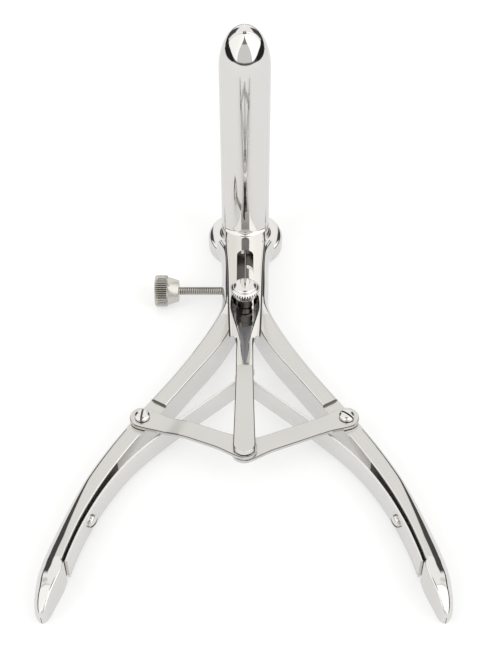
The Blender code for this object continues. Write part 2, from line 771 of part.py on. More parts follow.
def link_screw(side, name, slot_angle):
    base = LINK_UNDERSIDE - GAP - SCREW_SHANK_DEPTH
    head = LINK_TOP + GAP
    profile = [(0, base), (SCREW_SHANK_RADIUS, base), (SCREW_SHANK_RADIUS, head)]
    profile += round_head(SCREW_HEAD_RADIUS, head, SCREW_HEAD_HEIGHT)
    frame = Matrix.Translation((side * LINK_SCREW_X, LINK_SCREW_Y, 0))
    body = turned(name, profile, 24, frame)
    cut(body, screw_slot(frame, head + SCREW_HEAD_HEIGHT, slot_angle))
    return body


def link_rivet():
    """Rivet under the tongue that both links turn on."""
    base = LINK_UNDERSIDE - GAP - RIVET_HEAD_HEIGHT
    top = TONGUE_UNDERSIDE + RIVET_SEAT_SHARE * TONGUE_THICKNESS - GAP
    shoulder = base + RIVET_HEAD_HEIGHT
    profile = [(0, base), (RIVET_HEAD_RADIUS - EDGE_BREAK, base)]
    profile += [(RIVET_HEAD_RADIUS, base + EDGE_BREAK), (RIVET_HEAD_RADIUS, shoulder)]
    profile += [(RIVET_RADIUS, shoulder), (RIVET_RADIUS, top), (0, top)]
    return turned("link_rivet", profile, 20, Matrix.Translation((0, TONGUE_PIVOT_Y, 0)))


def pivot_stud():
    profile = [(0, 0), (STUD_HEAD_RADIUS, 0), (STUD_HEAD_RADIUS, STUD_HEAD_HEIGHT)]
    profile += [(STUD_RADIUS, STUD_HEAD_HEIGHT + GAP), (STUD_RADIUS, LEVER_HEIGHT)]
    profile += [(THREAD_RADIUS, LEVER_HEIGHT), (THREAD_RADIUS, STUD_TOP), (0, STUD_TOP)]
    return turned("pivot_stud", profile, 32)


def slot_bush():
    """Ring on the stud that guides the slotted arm."""
    body = disc("slot_bush", BUSH_RADIUS, ARM_UNDERSIDE, ARM_TOP, steps=28)
    cut(body, disc("bush_hole", THREAD_RADIUS + GAP, 0, FAR, steps=28))
    return body


def pivot_nut():
    """Knurled nut with a polished dome."""
    low, radius = NUT_UNDERSIDE, NUT_RADIUS
    knurl = low + NUT_KNURL_HEIGHT
    bevel = knurl + 0.6 * NUT_CHAMFER
    profile = [(0, low), (NUT_FOOT_RADIUS, low), (radius, knurl - EDGE_BREAK, True)]
    profile += [(radius, knurl, True), (radius - NUT_CHAMFER, bevel)]
    profile += rounding((0, bevel), (radius - NUT_CHAMFER, NUT_DOME_HEIGHT), 0, 90)[1:-1]
    profile.append((0, bevel + NUT_DOME_HEIGHT))
    body = turned("pivot_nut", profile, 0, teeth=NUT_TEETH, depth=KNURL_DEPTH)
    cut(body, disc("nut_bore", THREAD_RADIUS + GAP, 0, STUD_TOP + GAP, steps=28))
    return body


def leaf_spring(side, name, forked):
    """Strip from the heel to the centre, where the two ends interlock."""
    run = spring_run(side)
    half = SPRING_THICKNESS / 2
    rings = []
    for index, point in enumerate(run):
        before = run[max(index - 1, 0)]
        after = run[min(index + 1, len(run) - 1)]
        direction = (after - before).normalized()
        across = Vector((-direction.y, direction.x)) * half
        ring = []
        low, high = SPRING_LOW, SPRING_HIGH
        for offset, height in ((-1, low), (1, low), (1, high), (-1, high)):
            spot = point + across * offset
            ring.append(Vector((spot.x, spot.y, height)))
        rings.append(ring)
    body = loft(name, rings)
    length = sum((end - start).length for start, end in zip(run, run[1:]))
    root, direction = along_run(run, length - FORK_LENGTH)
    across = Vector((-direction.y, direction.x)) * 4 * SPRING_THICKNESS
    tip = root + direction * 2 * FORK_LENGTH
    plan = [tuple(spot) for spot in (root - across, root + across, tip + across, tip - across)]
    if forked:
        cut(body, prism("fork", plan, SPRING_MIDDLE - FORK_HALF_GAP, SPRING_MIDDLE + FORK_HALF_GAP))
    else:
        tang = FORK_HALF_GAP - GAP
        cut(body, prism("above", plan, SPRING_MIDDLE + tang, FAR))
        cut(body, prism("below", plan, -FAR, SPRING_MIDDLE - tang))
    hole = SPRING_SHANK_RADIUS + GAP
    reach = 2 * SPRING_THICKNESS
    profile = ((0, -reach), (hole, -reach), (hole, reach), (0, reach))
    cut(body, turned("spring_eye", profile, 16, spring_screw_frame(side)))
    return body


def spring_screw(side, name):
    face = SPRING_THICKNESS / 2 + GAP
    foot = -SPRING_THICKNESS / 2 - SPRING_SHANK_DEPTH
    profile = [(0, foot), (SPRING_SHANK_RADIUS, foot), (SPRING_SHANK_RADIUS, face)]
    profile += round_head(SPRING_HEAD_RADIUS, face, SPRING_HEAD_HEIGHT)
    frame = spring_screw_frame(side)
    body = turned(name, profile, 20, frame)
    cut(body, screw_slot(frame, face + SPRING_HEAD_HEIGHT, math.pi / 2))
    return body


def thumbscrew():
    """Knurled screw through the left lever that bears on the right one."""
    end = -THUMB_END_X
    tip = -CENTRE_GAP / 2
    head = end + THUMB_HEAD_LENGTH
    neck = head + THUMB_NECK_LENGTH
    radius = THUMB_HEAD_RADIUS
    chamfer = THUMB_CHAMFER
    profile = [(0, end), (radius - 2 * chamfer, end), (radius - chamfer, end + 0.3 * chamfer)]
    profile += [(radius, end + chamfer, True), (radius, head - chamfer, True)]
    profile += [(THUMB_SHOULDER_RADIUS, head), (THUMB_SHOULDER_RADIUS, head + chamfer)]
    profile += [(THUMB_NECK_RADIUS, neck), (THREAD_RADIUS, neck), (THREAD_RADIUS, tip - EDGE_BREAK)]
    profile += [(THREAD_RADIUS - EDGE_BREAK, tip), (0, tip)]
    return turned("thumbscrew", profile, 0, thumb_frame(), THUMB_TEETH, KNURL_DEPTH)


def place(body, look, origin=(0, 0, 0), carrier=None):
    """Give a body its own material, its origin on its joint's axis and its carrier."""
    body.data.materials.clear()
    body.data.materials.append(material(body.name + "_steel", *look))
    body.data.shade_smooth()
    body.data.set_sharp_from_angle(angle=SHARP_ANGLE)
    body.data.transform(Matrix.Translation(-Vector(origin)))
    body.location = origin
    body.parent = carrier
    return body


def build():
    clear_scene()
    left = place(left_lever(), POLISHED)
    right = place(right_lever(), POLISHED)
    blade = place(third_blade(), POLISHED)
    stud = place(pivot_stud(), TURNED)
    place(slot_bush(), TURNED, carrier=stud)
    place(pivot_nut(), POLISHED, carrier=stud)
    left_axis = (-LINK_SCREW_X, LINK_SCREW_Y, LINK_UNDERSIDE)
    right_axis = (LINK_SCREW_X, LINK_SCREW_Y, LINK_UNDERSIDE)
    place(link(-1, "left_link", JOGGLE), SATIN, left_axis, left)
    place(link(1, "right_link", 0.0), SATIN, right_axis, right)
    left_turn = math.radians(LEFT_SLOT_TURN)
    right_turn = math.radians(RIGHT_SLOT_TURN)
    place(link_screw(-1, "left_link_screw", left_turn), TURNED, left_axis, left)
    place(link_screw(1, "right_link_screw", right_turn), TURNED, right_axis, right)
    place(link_rivet(), TURNED, (0, TONGUE_PIVOT_Y, LINK_UNDERSIDE), blade)
    for side, word, carrier in ((-1, "left", left), (1, "right", right)):
        seat = spring_screw_frame(side).translation
        place(leaf_spring(side, word + "_spring", carrier is left), BLUED, seat, carrier)
        place(spring_screw(side, word + "_spring_screw"), TURNED, seat, carrier)
    place(thumbscrew(), TURNED, thumb_frame().translation, left)
    bpy.context.view_layer.update()


build()
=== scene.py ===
import math

import bmesh
import bpy
from mathutils import Matrix, Vector


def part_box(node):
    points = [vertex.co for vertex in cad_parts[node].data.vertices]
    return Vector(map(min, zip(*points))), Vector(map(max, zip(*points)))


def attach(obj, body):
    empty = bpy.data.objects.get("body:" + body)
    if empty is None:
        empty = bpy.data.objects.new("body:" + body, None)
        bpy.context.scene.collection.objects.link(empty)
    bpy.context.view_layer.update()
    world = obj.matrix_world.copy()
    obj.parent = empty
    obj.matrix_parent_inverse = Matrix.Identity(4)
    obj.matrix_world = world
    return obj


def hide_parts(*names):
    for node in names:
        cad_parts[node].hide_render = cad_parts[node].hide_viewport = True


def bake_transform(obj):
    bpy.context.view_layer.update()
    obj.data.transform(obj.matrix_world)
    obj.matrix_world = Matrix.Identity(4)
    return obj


bl_info = {
    "name": "Three-blade speculum",
    "version": (1, 0, 0),
    "blender": (4, 5, 0),
    "location": "3D View > Sidebar > Speculum",
    "description": "Polished and brushed steel pieces of a three-blade speculum, with camera and light",
    "category": "Object",
}

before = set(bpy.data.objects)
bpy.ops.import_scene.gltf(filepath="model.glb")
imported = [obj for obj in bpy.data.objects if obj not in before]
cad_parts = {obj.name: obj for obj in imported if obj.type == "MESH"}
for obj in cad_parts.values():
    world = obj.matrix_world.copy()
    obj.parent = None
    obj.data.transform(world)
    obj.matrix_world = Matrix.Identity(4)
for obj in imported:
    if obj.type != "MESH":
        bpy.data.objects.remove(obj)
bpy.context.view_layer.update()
IMAGE_HEIGHT = 651
SENSOR = 36.0

MM = 0.001
FAR = 0.2
HAIRLINE = 0.002 * MM
MERGE = 0.0001 * MM
SHARP_ANGLE = math.radians(32)
RUNNING_GAP = 0.06 * MM
GAP = 0.3 * MM
LINK_EDGE = 0.3 * MM
RIVET_PLAY = 1.1 * MM
EYE_RUN = 8.5 * MM
LINK_SLOT_DEPTH = 0.7 * MM
SPRING_SLOT_DEPTH = 0.6 * MM
SPRING_SCREW_SHANK = 1.0 * MM
SPRING_SCREW_GRIP = 2.4 * MM
SPRING_FREE = 5 * MM
SPRINGS_MEET = -34 * MM
ROWS_PER_TURN = 10
SIDES = ((-1, "left"), (1, "right"))
TUBE_STEPS = 144

# Places along a lever where its finish changes, and where the painted shade in the slot's channel, beside the
# spring seat and on the recess steps begins and ends
BRUSHED_FRONT = -8 * MM
BRUSHED_REAR = -103 * MM
BRIGHT_SLOT = 15 * MM
SEAT_REAR = -104.2 * MM
SEAT_SHADOW = -70 * MM
STEP_SHADOW = (-65 * MM, -40 * MM)

# Brushed steel runs into polished steel between these places, down to a share of its roughness
SATIN_FADES = ((-36 * MM, -10 * MM), (-72 * MM, -94 * MM))
POLISHED_SHARE = 0.25
# Painted shade at the bottom of knurls and threads: a near-black mixed in where a groove is deep
GROOVE_SHADE = (0.02, 0.017, 0.014, 1.0)

# Marks on the steel: a noise for the height and one for the tone, each with its scale, detail and roughness,
# the stretch of the tone's noise, whether the height's is stretched too, and the spread of roughness and tint
MARKS = {
    "hand_polish": ((90.0, 1.0, 0.5), (1.0, 3.0, 0.6), (9000.0, 9000.0, 300.0), False, 0.02, 0.03),
    "brush_marks": ((6000.0, 4.0, 0.65), (1800.0, 3.0, 0.5), (0.02, 1.0, 1.0), True, 0.05, 0.08),
}

# Roughness, marks, coordinates and fades of each finish
FINISHES = {
    "mirror": (0.06, "hand_polish", "Object", ()),
    "satin": (0.24, "brush_marks", "UV", SATIN_FADES),
    # Painted shade: a near-black steel put on hollows, slots, narrow gaps and thin edges that lie in shade
    "dark": (0.4, "brush_marks", "Object", ()),
    # Painted reflection: a darker steel for the dark surroundings mirrored on the valley floor
    "shaded": (0.14, "hand_polish", "Object", ()),
    "spring": (0.2, "brush_marks", "Object", ()),
    "turned": (0.24, "brush_marks", "Object", ()),
}

# Plan of a handle on the +X side, in mm from the pivot: outer then inner edge
HANDLE_PAIRS = (
    ((10.6, 31.6), (-1.0, 31.6)),
    ((8.9, 27.0), (-1.0, 27.0)),
    ((8.3, 20.0), (-1.0, 20.0)),
    ((8.2, 10.0), (-1.0, 10.0)),
    ((8.1, 1.5), (-1.0, 2.0)),
    ((8.9, -3.5), (1.1, -4.5)),
    ((11.2, -9.8), (4.0, -13.0)),
    ((15.9, -20.0), (9.3, -23.8)),
    ((22.7, -32.5), (16.8, -35.9)),
    ((29.4, -43.5), (23.5, -46.7)),
    ((38.4, -58.3), (32.3, -61.0)),
    ((44.0, -68.8), (38.2, -71.5)),
    ((48.4, -78.6), (42.7, -80.8)),
    ((51.9, -88.3), (46.3, -90.1)),
    ((54.6, -97.2), (48.7, -98.4)),
    ((56.1, -103.2), (50.0, -103.9)),
)

# The heel beyond the spring seat: outer edge, inner edge, underside, and depth
# of its top below the lever's top
HEEL = (
    ((56.2, -104.0), (49.3, -104.8), 0.0, 0.0),
    ((56.7, -107.2), (49.8, -107.7), 0.0, 0.1),
    ((56.8, -110.6), (50.8, -110.8), 0.0, 0.6),
    ((56.8, -113.4), (51.8, -113.6), 0.0, 1.4),
    ((56.5, -115.9), (52.6, -116.0), 0.2, 2.7),
    ((56.0, -117.6), (53.3, -117.7), 0.7, 4.2),
    ((55.2, -118.6), (54.2, -118.6), 1.7, 5.9),
)

WIDEST = max(outer[0] for outer, inner, low, depth in HEEL)

# Middle line of a leaf spring from the heel to the centre
SPRING_PATH = (
    (49.0, -103.6),
    (48.1, -99.4),
    (45.8, -91.4),
    (42.2, -82.2),
    (37.6, -73.4),
    (33.1, -66.8),
    (27.6, -60.4),
    (19.7, -52.3),
    (8.4, -41.7),
    (-2.9, -31.1),
)


def length(name, description, millimetres):
    """A length that the sidebar shows in metres."""
    return bpy.props.FloatProperty(
        name=name, description=description, default=millimetres * MM, unit="LENGTH", precision=5, step=0.01,
    )


def colour(name, description, value):
    return bpy.props.FloatVectorProperty(
        name=name, description=description, default=value, subtype="COLOR", size=3, min=0.0, max=1.0,
    )


def share(name, description, value, high=1.0):
    return bpy.props.FloatProperty(name=name, description=description, default=value, min=0.0, max=high)


def count(name, description, value):
    return bpy.props.IntProperty(name=name, description=description, default=value, min=3)


class LeverSizes(bpy.types.PropertyGroup):
    height: length("Height", "Height of the levers above the table", 10.5)
    lobe: length("Lobe radius", "Radius of the lap joint's round lobes", 6.3)
    edge: length("Edge radius", "Rounding of the handles' inner edges", 0.6)
    neck_crown: length("Neck crown", "Reach of the rounded outer side at the neck", 2.4)
    heel_crown: length("Heel crown", "Reach of the rounded outer side at the heel", 5.2)
    crown_start: share("Crown start", "Where along the handle the rounding begins to widen", 0.78)
    crown_run: share("Crown run", "Share of the handle over which the rounding widens", 0.14)
    channel: length("Channel depth", "Depth of the channel under the arm's slot", 2.4)
    recess: length("Recess depth", "Depth of the seat that a link lies in", 0.9)
    recess_front: length("Recess front", "From the link screw to the step towards the pivot", 8.2)
    recess_rear: length("Recess rear", "From the link screw to the step towards the tip", 6.0)


class TubeSizes(bpy.types.PropertyGroup):
    axis_y: length("Axis", "Distance of the tube's axis from the pivot", 40.6)
    radius: length("Radius", "Outside radius of the closed blades", 8.6)
    wall: length("Wall", "Thickness of the blades", 1.2)
    top: length("Top", "Height of the blades' tip above the table", 91.0)
    nose: length("Nose length", "Length of the rounded nose", 15.0)
    setback: length("Seam setback", "Seams of the third blade in front of the tube's axis", 4.2)
    crown: share("Crown share", "Where on the nose the third blade's seams turn upright", 0.55)
    crown_setback: length("Crown setback", "Seams at the crown in front of the tube's axis", 2.9)
    flange: length("Flange radius", "Radius of the flared foot", 13.68)
    rim: length("Rim radius", "Rounding of the foot's upper edge", 2.4)
    rim_foot: length("Foot edge", "Rounding of the foot's lower edge", 1.2)
    flare: length("Flare", "Hollow rounding between tube and foot", 1.2)
    flange_height: length("Flange height", "Height of the flared foot's rim", 6.6)
    mouth: length("Mouth radius", "Radius of the open mouth underneath", 12.2)
    mouth_depth: length("Mouth depth", "Height at which the mouth runs into the bore", 11.5)


class ArmSizes(bpy.types.PropertyGroup):
    thickness: length("Thickness", "Thickness of the slotted arm", 1.6)
    half_width: length("Half width", "Half the width of the arm at the fold", 7.1)
    fold: length("Fold radius", "Radius of the fold between arm and trough", 1.8)
    shoulder_y: length("Shoulder", "Place of the square shoulders along the arm", -19.9)
    shoulder: length("Shoulder half width", "Half the width across the shoulders", 5.2)
    tongue: length("Tongue half width", "Half the width of the narrow tongue", 2.75)
    tongue_thickness: length("Tongue thickness", "Thickness of the tongue", 1.5)
    slot_front: length("Slot front", "Front end of the slot", 23.6)
    slot_rear: length("Slot rear", "Rear end of the slot", -14.7)
    valley: length("Valley depth", "Depth of the dished valley round the slot's rear end", 0.8)
    valley_end: length("Valley end", "Where the valley runs out on the tongue", -34.2)
    edge: length("Edge radius", "Rounding along the upper edges", 0.75)


class PivotSizes(bpy.types.PropertyGroup):
    stud: length("Stud radius", "Radius of the stud inside the levers", 2.3)
    thread: length("Thread radius", "Radius of the stud's thread", 1.5)
    bush: length("Bush radius", "Radius of the ring in the slot", 2.6)
    nut: length("Nut radius", "Radius over the knurl", 5.1)
    foot: length("Foot radius", "Radius of the nut's underside", 4.3)
    knurl: length("Knurl height", "Height of the knurled band", 2.5)
    teeth: count("Teeth", "Ridges round the nut", 34)
    knurl_depth: length("Knurl depth", "Depth of the nut's knurl", 0.6)


class LinkSizes(bpy.types.PropertyGroup):
    screw_x: length("Screw offset", "Link screws from the centre plane", 31.3)
    screw_y: length("Screw place", "Link screws along the instrument", -53.4)
    pivot_y: length("Tongue pivot", "Rivet under the tongue along the instrument", -66.6)
    thickness: length("Thickness", "Thickness of a link", 1.3)
    eye: length("Eye radius", "Radius of a link's eyes", 3.8)
    half_width: length("Half width", "Half the width of a link's waist", 3.0)
    screw_head: length("Screw head radius", "Radius of the link screws' heads", 2.35)
    screw_height: length("Screw head height", "Height of the link screws' heads", 1.3)
    shank: length("Shank radius", "Radius of the link screws' shanks", 1.2)
    screw_slot: length("Slot width", "Width of the screwdriver slots", 0.6)


class SpringSizes(bpy.types.PropertyGroup):
    thickness: length("Thickness", "Thickness of the leaf springs", 0.8)
    low: length("Lower edge", "Lower edge of the springs above the table", 1.0)
    high: length("Upper edge", "Upper edge of the springs above the table", 9.0)
    fork: length("Fork half gap", "Half the gap of the forked end", 1.3)
    fork_length: length("Fork length", "Length of the interlocking ends", 6.0)
    screw_distance: length("Screw distance", "From the heel end to the spring screw", 16.9)
    head: length("Screw head radius", "Radius of the spring screws' heads", 2.1)
    head_height: length("Screw head height", "Height of the spring screws' heads", 1.4)


class ThumbSizes(bpy.types.PropertyGroup):
    y: length("Axis place", "Thumbscrew's axis in front of the pivot", 9.5)
    z: length("Axis height", "Thumbscrew's axis above the table", 5.6)
    end: length("End", "Outer face of the head from the centre plane", 31.5)
    radius: length("Head radius", "Radius over the knurl", 5.5)
    head: length("Head length", "Length of the knurled head", 4.6)
    shoulder: length("Shoulder radius", "Radius of the plain shoulder behind the knurl", 4.75)
    neck_radius: length("Neck radius", "Radius at the end of the tapered neck", 3.65)
    neck: length("Neck length", "Length of the tapered neck", 3.7)
    pitch: length("Thread pitch", "Pitch of the thread", 0.75)
    groove: length("Thread depth", "Depth of the thread", 0.28)
    teeth: count("Teeth", "Ridges round the head", 48)
    knurl: length("Knurl depth", "Depth of the knurl", 0.45)


class FinishColours(bpy.types.PropertyGroup):
    mirror: colour("Mirror steel", "Polished blades, flange and handle backs", (0.80, 0.79, 0.77))
    satin: colour("Satin steel", "Handle tops, links and tongue", (0.68, 0.67, 0.645))
    spring: colour("Spring steel", "Leaf springs", (0.82, 0.81, 0.79))
    turned: colour("Turned steel", "Thumbscrew and rivet", (0.66, 0.64, 0.60))
    # Painted shade: this colour stands in for the shade in hollows, slots, gaps along thin edges, and on the
    # stud in its slot
    dark: colour("Dark steel", "Hollows, slots, thin edges and stud", (0.16, 0.15, 0.14))
    # Painted reflection: this colour stands in for the dark surroundings that the tongue's dished valley
    # mirrors
    shaded: colour("Shaded steel", "Floor of the tongue's valley", (0.22, 0.22, 0.235))
    waviness: share("Polish waviness", "Height of the hand polish's waves, in mm", 0.02)
    brushing: share("Brushing", "Strength of the brush marks", 0.25)


class StageSizes(bpy.types.PropertyGroup):
    camera: bpy.props.FloatVectorProperty(
        name="Camera", description="Place of the camera",
        default=(0.0017, -0.2724, 0.2656), subtype="TRANSLATION",
    )
    elevation: bpy.props.FloatProperty(
        name="Elevation", description="Angle of the view below the horizon",
        default=math.radians(44.5), subtype="ANGLE",
    )
    focal_pixels: share("Focal length", "Focal length in pixels of the photograph", 1092.0, 5000.0)
    floor: length("Floor", "Half the side of the floor", 750.0)
    floor_glow: share("Floor glow", "Share of its own white that the camera sees on the floor", 0.55)
    floor_colour: colour("Floor colour", "Colour of the pale floor", (0.90, 0.90, 0.90))
    left_box: share("Left softbox", "Brightness of the left softbox in reflections", 1.12, 4.0)
    right_box: share("Right softbox", "Brightness of the right softbox in reflections", 1.35, 4.0)


GROUPS = {
    "lever": LeverSizes, "tube": TubeSizes, "arm": ArmSizes, "pivot": PivotSizes, "link": LinkSizes,
    "spring": SpringSizes, "thumb": ThumbSizes, "finish": FinishColours, "stage": StageSizes,
}


class SpeculumSettings(bpy.types.PropertyGroup):
    __annotations__ = {name: bpy.props.PointerProperty(type=group) for name, group in GROUPS.items()}


def sizes():
    return bpy.context.scene.speculum


# Heights that follow from the frame's pieces

def arm_underside():
    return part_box("third_blade")[0].z


def link_underside():
    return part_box("right_link")[0].z


def tongue_top():
    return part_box("left_link")[1].z + GAP + sizes().arm.tongue_thickness


# Curves

def quarter(steps):
    return [math.pi / 2 * step / steps for step in range(steps + 1)]


def clamp(value):
    return min(max(value, 0.0), 1.0)


def smooth(value):
    """Smooth rise from 0 to 1."""
    value = clamp(value)
    return value * value * (3 - 2 * value)


def catmull_rom(quartet, t):
    a, b, c, d = quartet
    square = (2 * a - 5 * b + 4 * c - d) * t ** 2
    return 0.5 * (2 * b + (c - a) * t + square + (3 * b - a - 3 * c + d) * t ** 3)


def smooth_run(points, per_span):
    """Points along a Catmull-Rom curve through the given ones."""
    rows = [list(point) for point in points]
    first = [2 * a - b for a, b in zip(rows[0], rows[1])]
    last = [2 * a - b for a, b in zip(rows[-1], rows[-2])]
    padded = [first] + rows + [last]
    run = []
    for index in range(1, len(padded) - 2):
        quartets = list(zip(*padded[index - 1:index + 3]))
        run += [[catmull_rom(quartet, step / per_span) for quartet in quartets] for step in range(per_span)]
    return run + [rows[-1]]


def arc(centre, radii, first, last, steps):
    """Arc in a profile about a centre, angles in degrees."""
    angles = [math.radians(first + (last - first) * step / steps) for step in range(steps + 1)]
    return [(centre[0] + radii[0] * math.cos(a), centre[1] + radii[1] * math.sin(a)) for a in angles]


def nose(radius, start, reach, steps=28):
    return arc((0, start), (radius, reach), 0, 90, steps)[:-1] + [(0, start + reach)]


def straight(start, end, rows):
    """Rows of a profile after its start, up to its end."""
    return [tuple(a + (b - a) * row / rows for a, b in zip(start, end)) for row in range(1, rows + 1)]


# Mesh helpers

def new_item(name, points, edges, faces):
    mesh = bpy.data.meshes.new(name)
    mesh.from_pydata([tuple(point) for point in points], edges, faces)
    return place_in_scene(name, mesh)


def place_in_scene(name, data):
    item = bpy.data.objects.new(name, data)
    bpy.context.scene.collection.objects.link(item)
    return item


def with_bmesh(mesh, change):
    work = bmesh.new()
    work.from_mesh(mesh)
    change(work)
    work.to_mesh(mesh)
    work.free()


def solid(name, points, faces, uvs=None):
    """Object with a closed mesh whose faces point outwards, and a UV map where one is given."""
    item = new_item(name, points, [], faces)
    if uvs is not None:
        layer = item.data.uv_layers.new(name="surface")
        layer.data.foreach_set("uv", [value for face in uvs for corner in face for value in corner])
    with_bmesh(item.data, lambda work: (
        bmesh.ops.remove_doubles(work, verts=work.verts, dist=MERGE),
        bmesh.ops.recalc_face_normals(work, faces=work.faces),
    ))
    return item


def loft(name, rings):
    """Solid through rings of equal point count, with flat ends and a UV map in metres."""
    width = len(rings[0])
    points = [Vector(point) for ring in rings for point in ring]
    middles = [sum((Vector(point) for point in ring), Vector()) / width for ring in rings]
    along = [0.0]
    for start, end in zip(middles, middles[1:]):
        along.append(along[-1] + (end - start).length)
    around = [0.0]
    for column in range(width):
        start, end = Vector(rings[0][column]), Vector(rings[0][(column + 1) % width])
        around.append(around[-1] + (end - start).length)
    faces = [tuple(range(width)), tuple(range(len(points) - width, len(points)))]
    uvs = [[(0.0, 0.0)] * width, [(along[-1], 0.0)] * width]
    for row in range(len(rings) - 1):
        for column in range(width):
            after = (column + 1) % width
            low, high = row * width, (row + 1) * width
            faces.append((low + column, low + after, high + after, high + column))
            left, right = around[column], around[column + 1]
            near, far = along[row], along[row + 1]
            uvs.append([(near, left), (near, right), (far, right), (far, left)])
    return solid(name, points, faces, uvs)


def prism(name, outline, low, high):
    rings = [[Vector((x, y, z)) for x, y in outline] for z in (low, high)]
    return loft(name, rings)


def turned(name, profile, steps, place=Matrix(), marks=()):
    """Profile of (radius, height) pairs from axis to axis, turned about a frame's Z.

    Marks are names of attributes, each with the profile indices whose points carry it.
    """
    points, rings, faces = [], [], []
    for radius, height in profile:
        turns = [2 * math.pi * step / steps for step in range(steps if radius else 1)]
        rings.append(list(range(len(points), len(points) + len(turns))))
        points += [place @ Vector((radius * math.cos(a), radius * math.sin(a), height)) for a in turns]
    for first, second in zip(rings, rings[1:]):
        for step in range(steps):
            after = (step + 1) % steps
            corners = [first[step % len(first)], first[after % len(first)]]
            corners += [second[after % len(second)], second[step % len(second)]]
            corners = tuple(dict.fromkeys(corners))
            if len(corners) > 2:
                faces.append(corners)
    item = solid(name, points, faces)
    for mark, indices in marks:
        layer = item.data.attributes.new(mark, "FLOAT", "POINT")
        chosen = {point for index in indices for point in rings[index]}
        layer.data.foreach_set("value", [float(point in chosen) for point in range(len(points))])
    return item


def disc(name, radius, low, high, x=0.0, y=0.0, steps=96):
    profile = ((0, low), (radius, low), (radius, high), (0, high))
    return turned(name, profile, steps, Matrix.Translation((x, y, 0)))


def boolean(target, tool, operation):
    modifier = target.modifiers.new(operation, "BOOLEAN")
    modifier.operation = operation
    modifier.solver = "EXACT"
    modifier.object = tool
    bake(target)
    mesh = tool.data
    bpy.data.objects.remove(tool)
    bpy.data.meshes.remove(mesh)
    with_bmesh(target.data, lambda work: (
        bmesh.ops.remove_doubles(work, verts=work.verts, dist=HAIRLINE),
        bmesh.ops.dissolve_degenerate(work, edges=work.edges, dist=HAIRLINE),
    ))


def cut(target, tool):
    boolean(target, tool, "DIFFERENCE")


def join(target, tool):
    boolean(target, tool, "UNION")


def bake(item):
    """Replace an object's mesh by what its modifiers make of it."""
    bpy.context.view_layer.update()
    evaluated = item.evaluated_get(bpy.context.evaluated_depsgraph_get())
    result = bpy.data.meshes.new_from_object(evaluated)
    old = item.data
    item.modifiers.clear()
    item.data = result
    bpy.data.meshes.remove(old)


def finish_piece(item, body, node):
    """Normals and the piece's place in the frame."""
    smooth_faces(item)
    weighted = item.modifiers.new("normals", "WEIGHTED_NORMAL")
    weighted.keep_sharp = True
    weighted.weight = 50
    bake(item)
    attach(item, body)
    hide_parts(node)


def smooth_faces(item):
    item.data.shade_smooth()
    item.data.set_sharp_from_angle(angle=SHARP_ANGLE)


def dress(item, looks, chooser=None):
    """Give an item its finishes, and each face the one whose number the chooser returns."""
    item.data.materials.clear()
    for look in looks:
        item.data.materials.append(finish(look))
    if chooser:
        for face in item.data.polygons:
            face.material_index = chooser(face.center, face.normal)


# Nodes

def feed(tree, node, inputs):
    """Give a node's inputs their values, or the sockets that feed them."""
    for label, value in inputs.items():
        if isinstance(value, bpy.types.NodeSocket):
            tree.links.new(value, node.inputs[label])
        else:
            node.inputs[label].default_value = value
    return node


def add(tree, kind, inputs=None, **settings):
    """New node with its settings and inputs."""
    node = tree.nodes.new(kind)
    for name, value in settings.items():
        setattr(node, name, value)
    return feed(tree, node, inputs or {})


def calc(tree, operation, *values):
    return add(tree, "ShaderNodeMath", dict(enumerate(values)), operation=operation).outputs[0]


def ramp(tree, value, low, high, start=0.0, end=1.0):
    limits = {"Value": value, "From Min": low, "From Max": high, "To Min": start, "To Max": end}
    return add(tree, "ShaderNodeMapRange", limits, interpolation_type="SMOOTHSTEP").outputs["Result"]


def new_group(name, kind, inputs, outputs):
    """Node group with its sockets, and the sockets that its inputs come from."""
    tree = bpy.data.node_groups.new(name, kind)
    for label, socket, default in inputs:
        made = tree.interface.new_socket(label, in_out="INPUT", socket_type="NodeSocket" + socket)
        if default is not None:
            made.default_value = default
    for label, socket in outputs:
        tree.interface.new_socket(label, in_out="OUTPUT", socket_type="NodeSocket" + socket)
    return tree, add(tree, "NodeGroupInput").outputs


# Geometry node trees

def new_tree(name, inputs):
    sockets = (("Geometry", "Geometry", None), *inputs, ("Material", "Material", None))
    return new_group(name, "GeometryNodeTree", sockets, (("Geometry", "Geometry"),))


def end_tree(tree, geometry, look):
    """Realize Instances, Set Material and the output."""
    real = add(tree, "GeometryNodeRealizeInstances", {0: geometry})
    painted = add(tree, "GeometryNodeSetMaterial", {"Geometry": real.outputs[0], "Material": look})
    add(tree, "NodeGroupOutput", {0: painted.outputs[0]})
    return tree


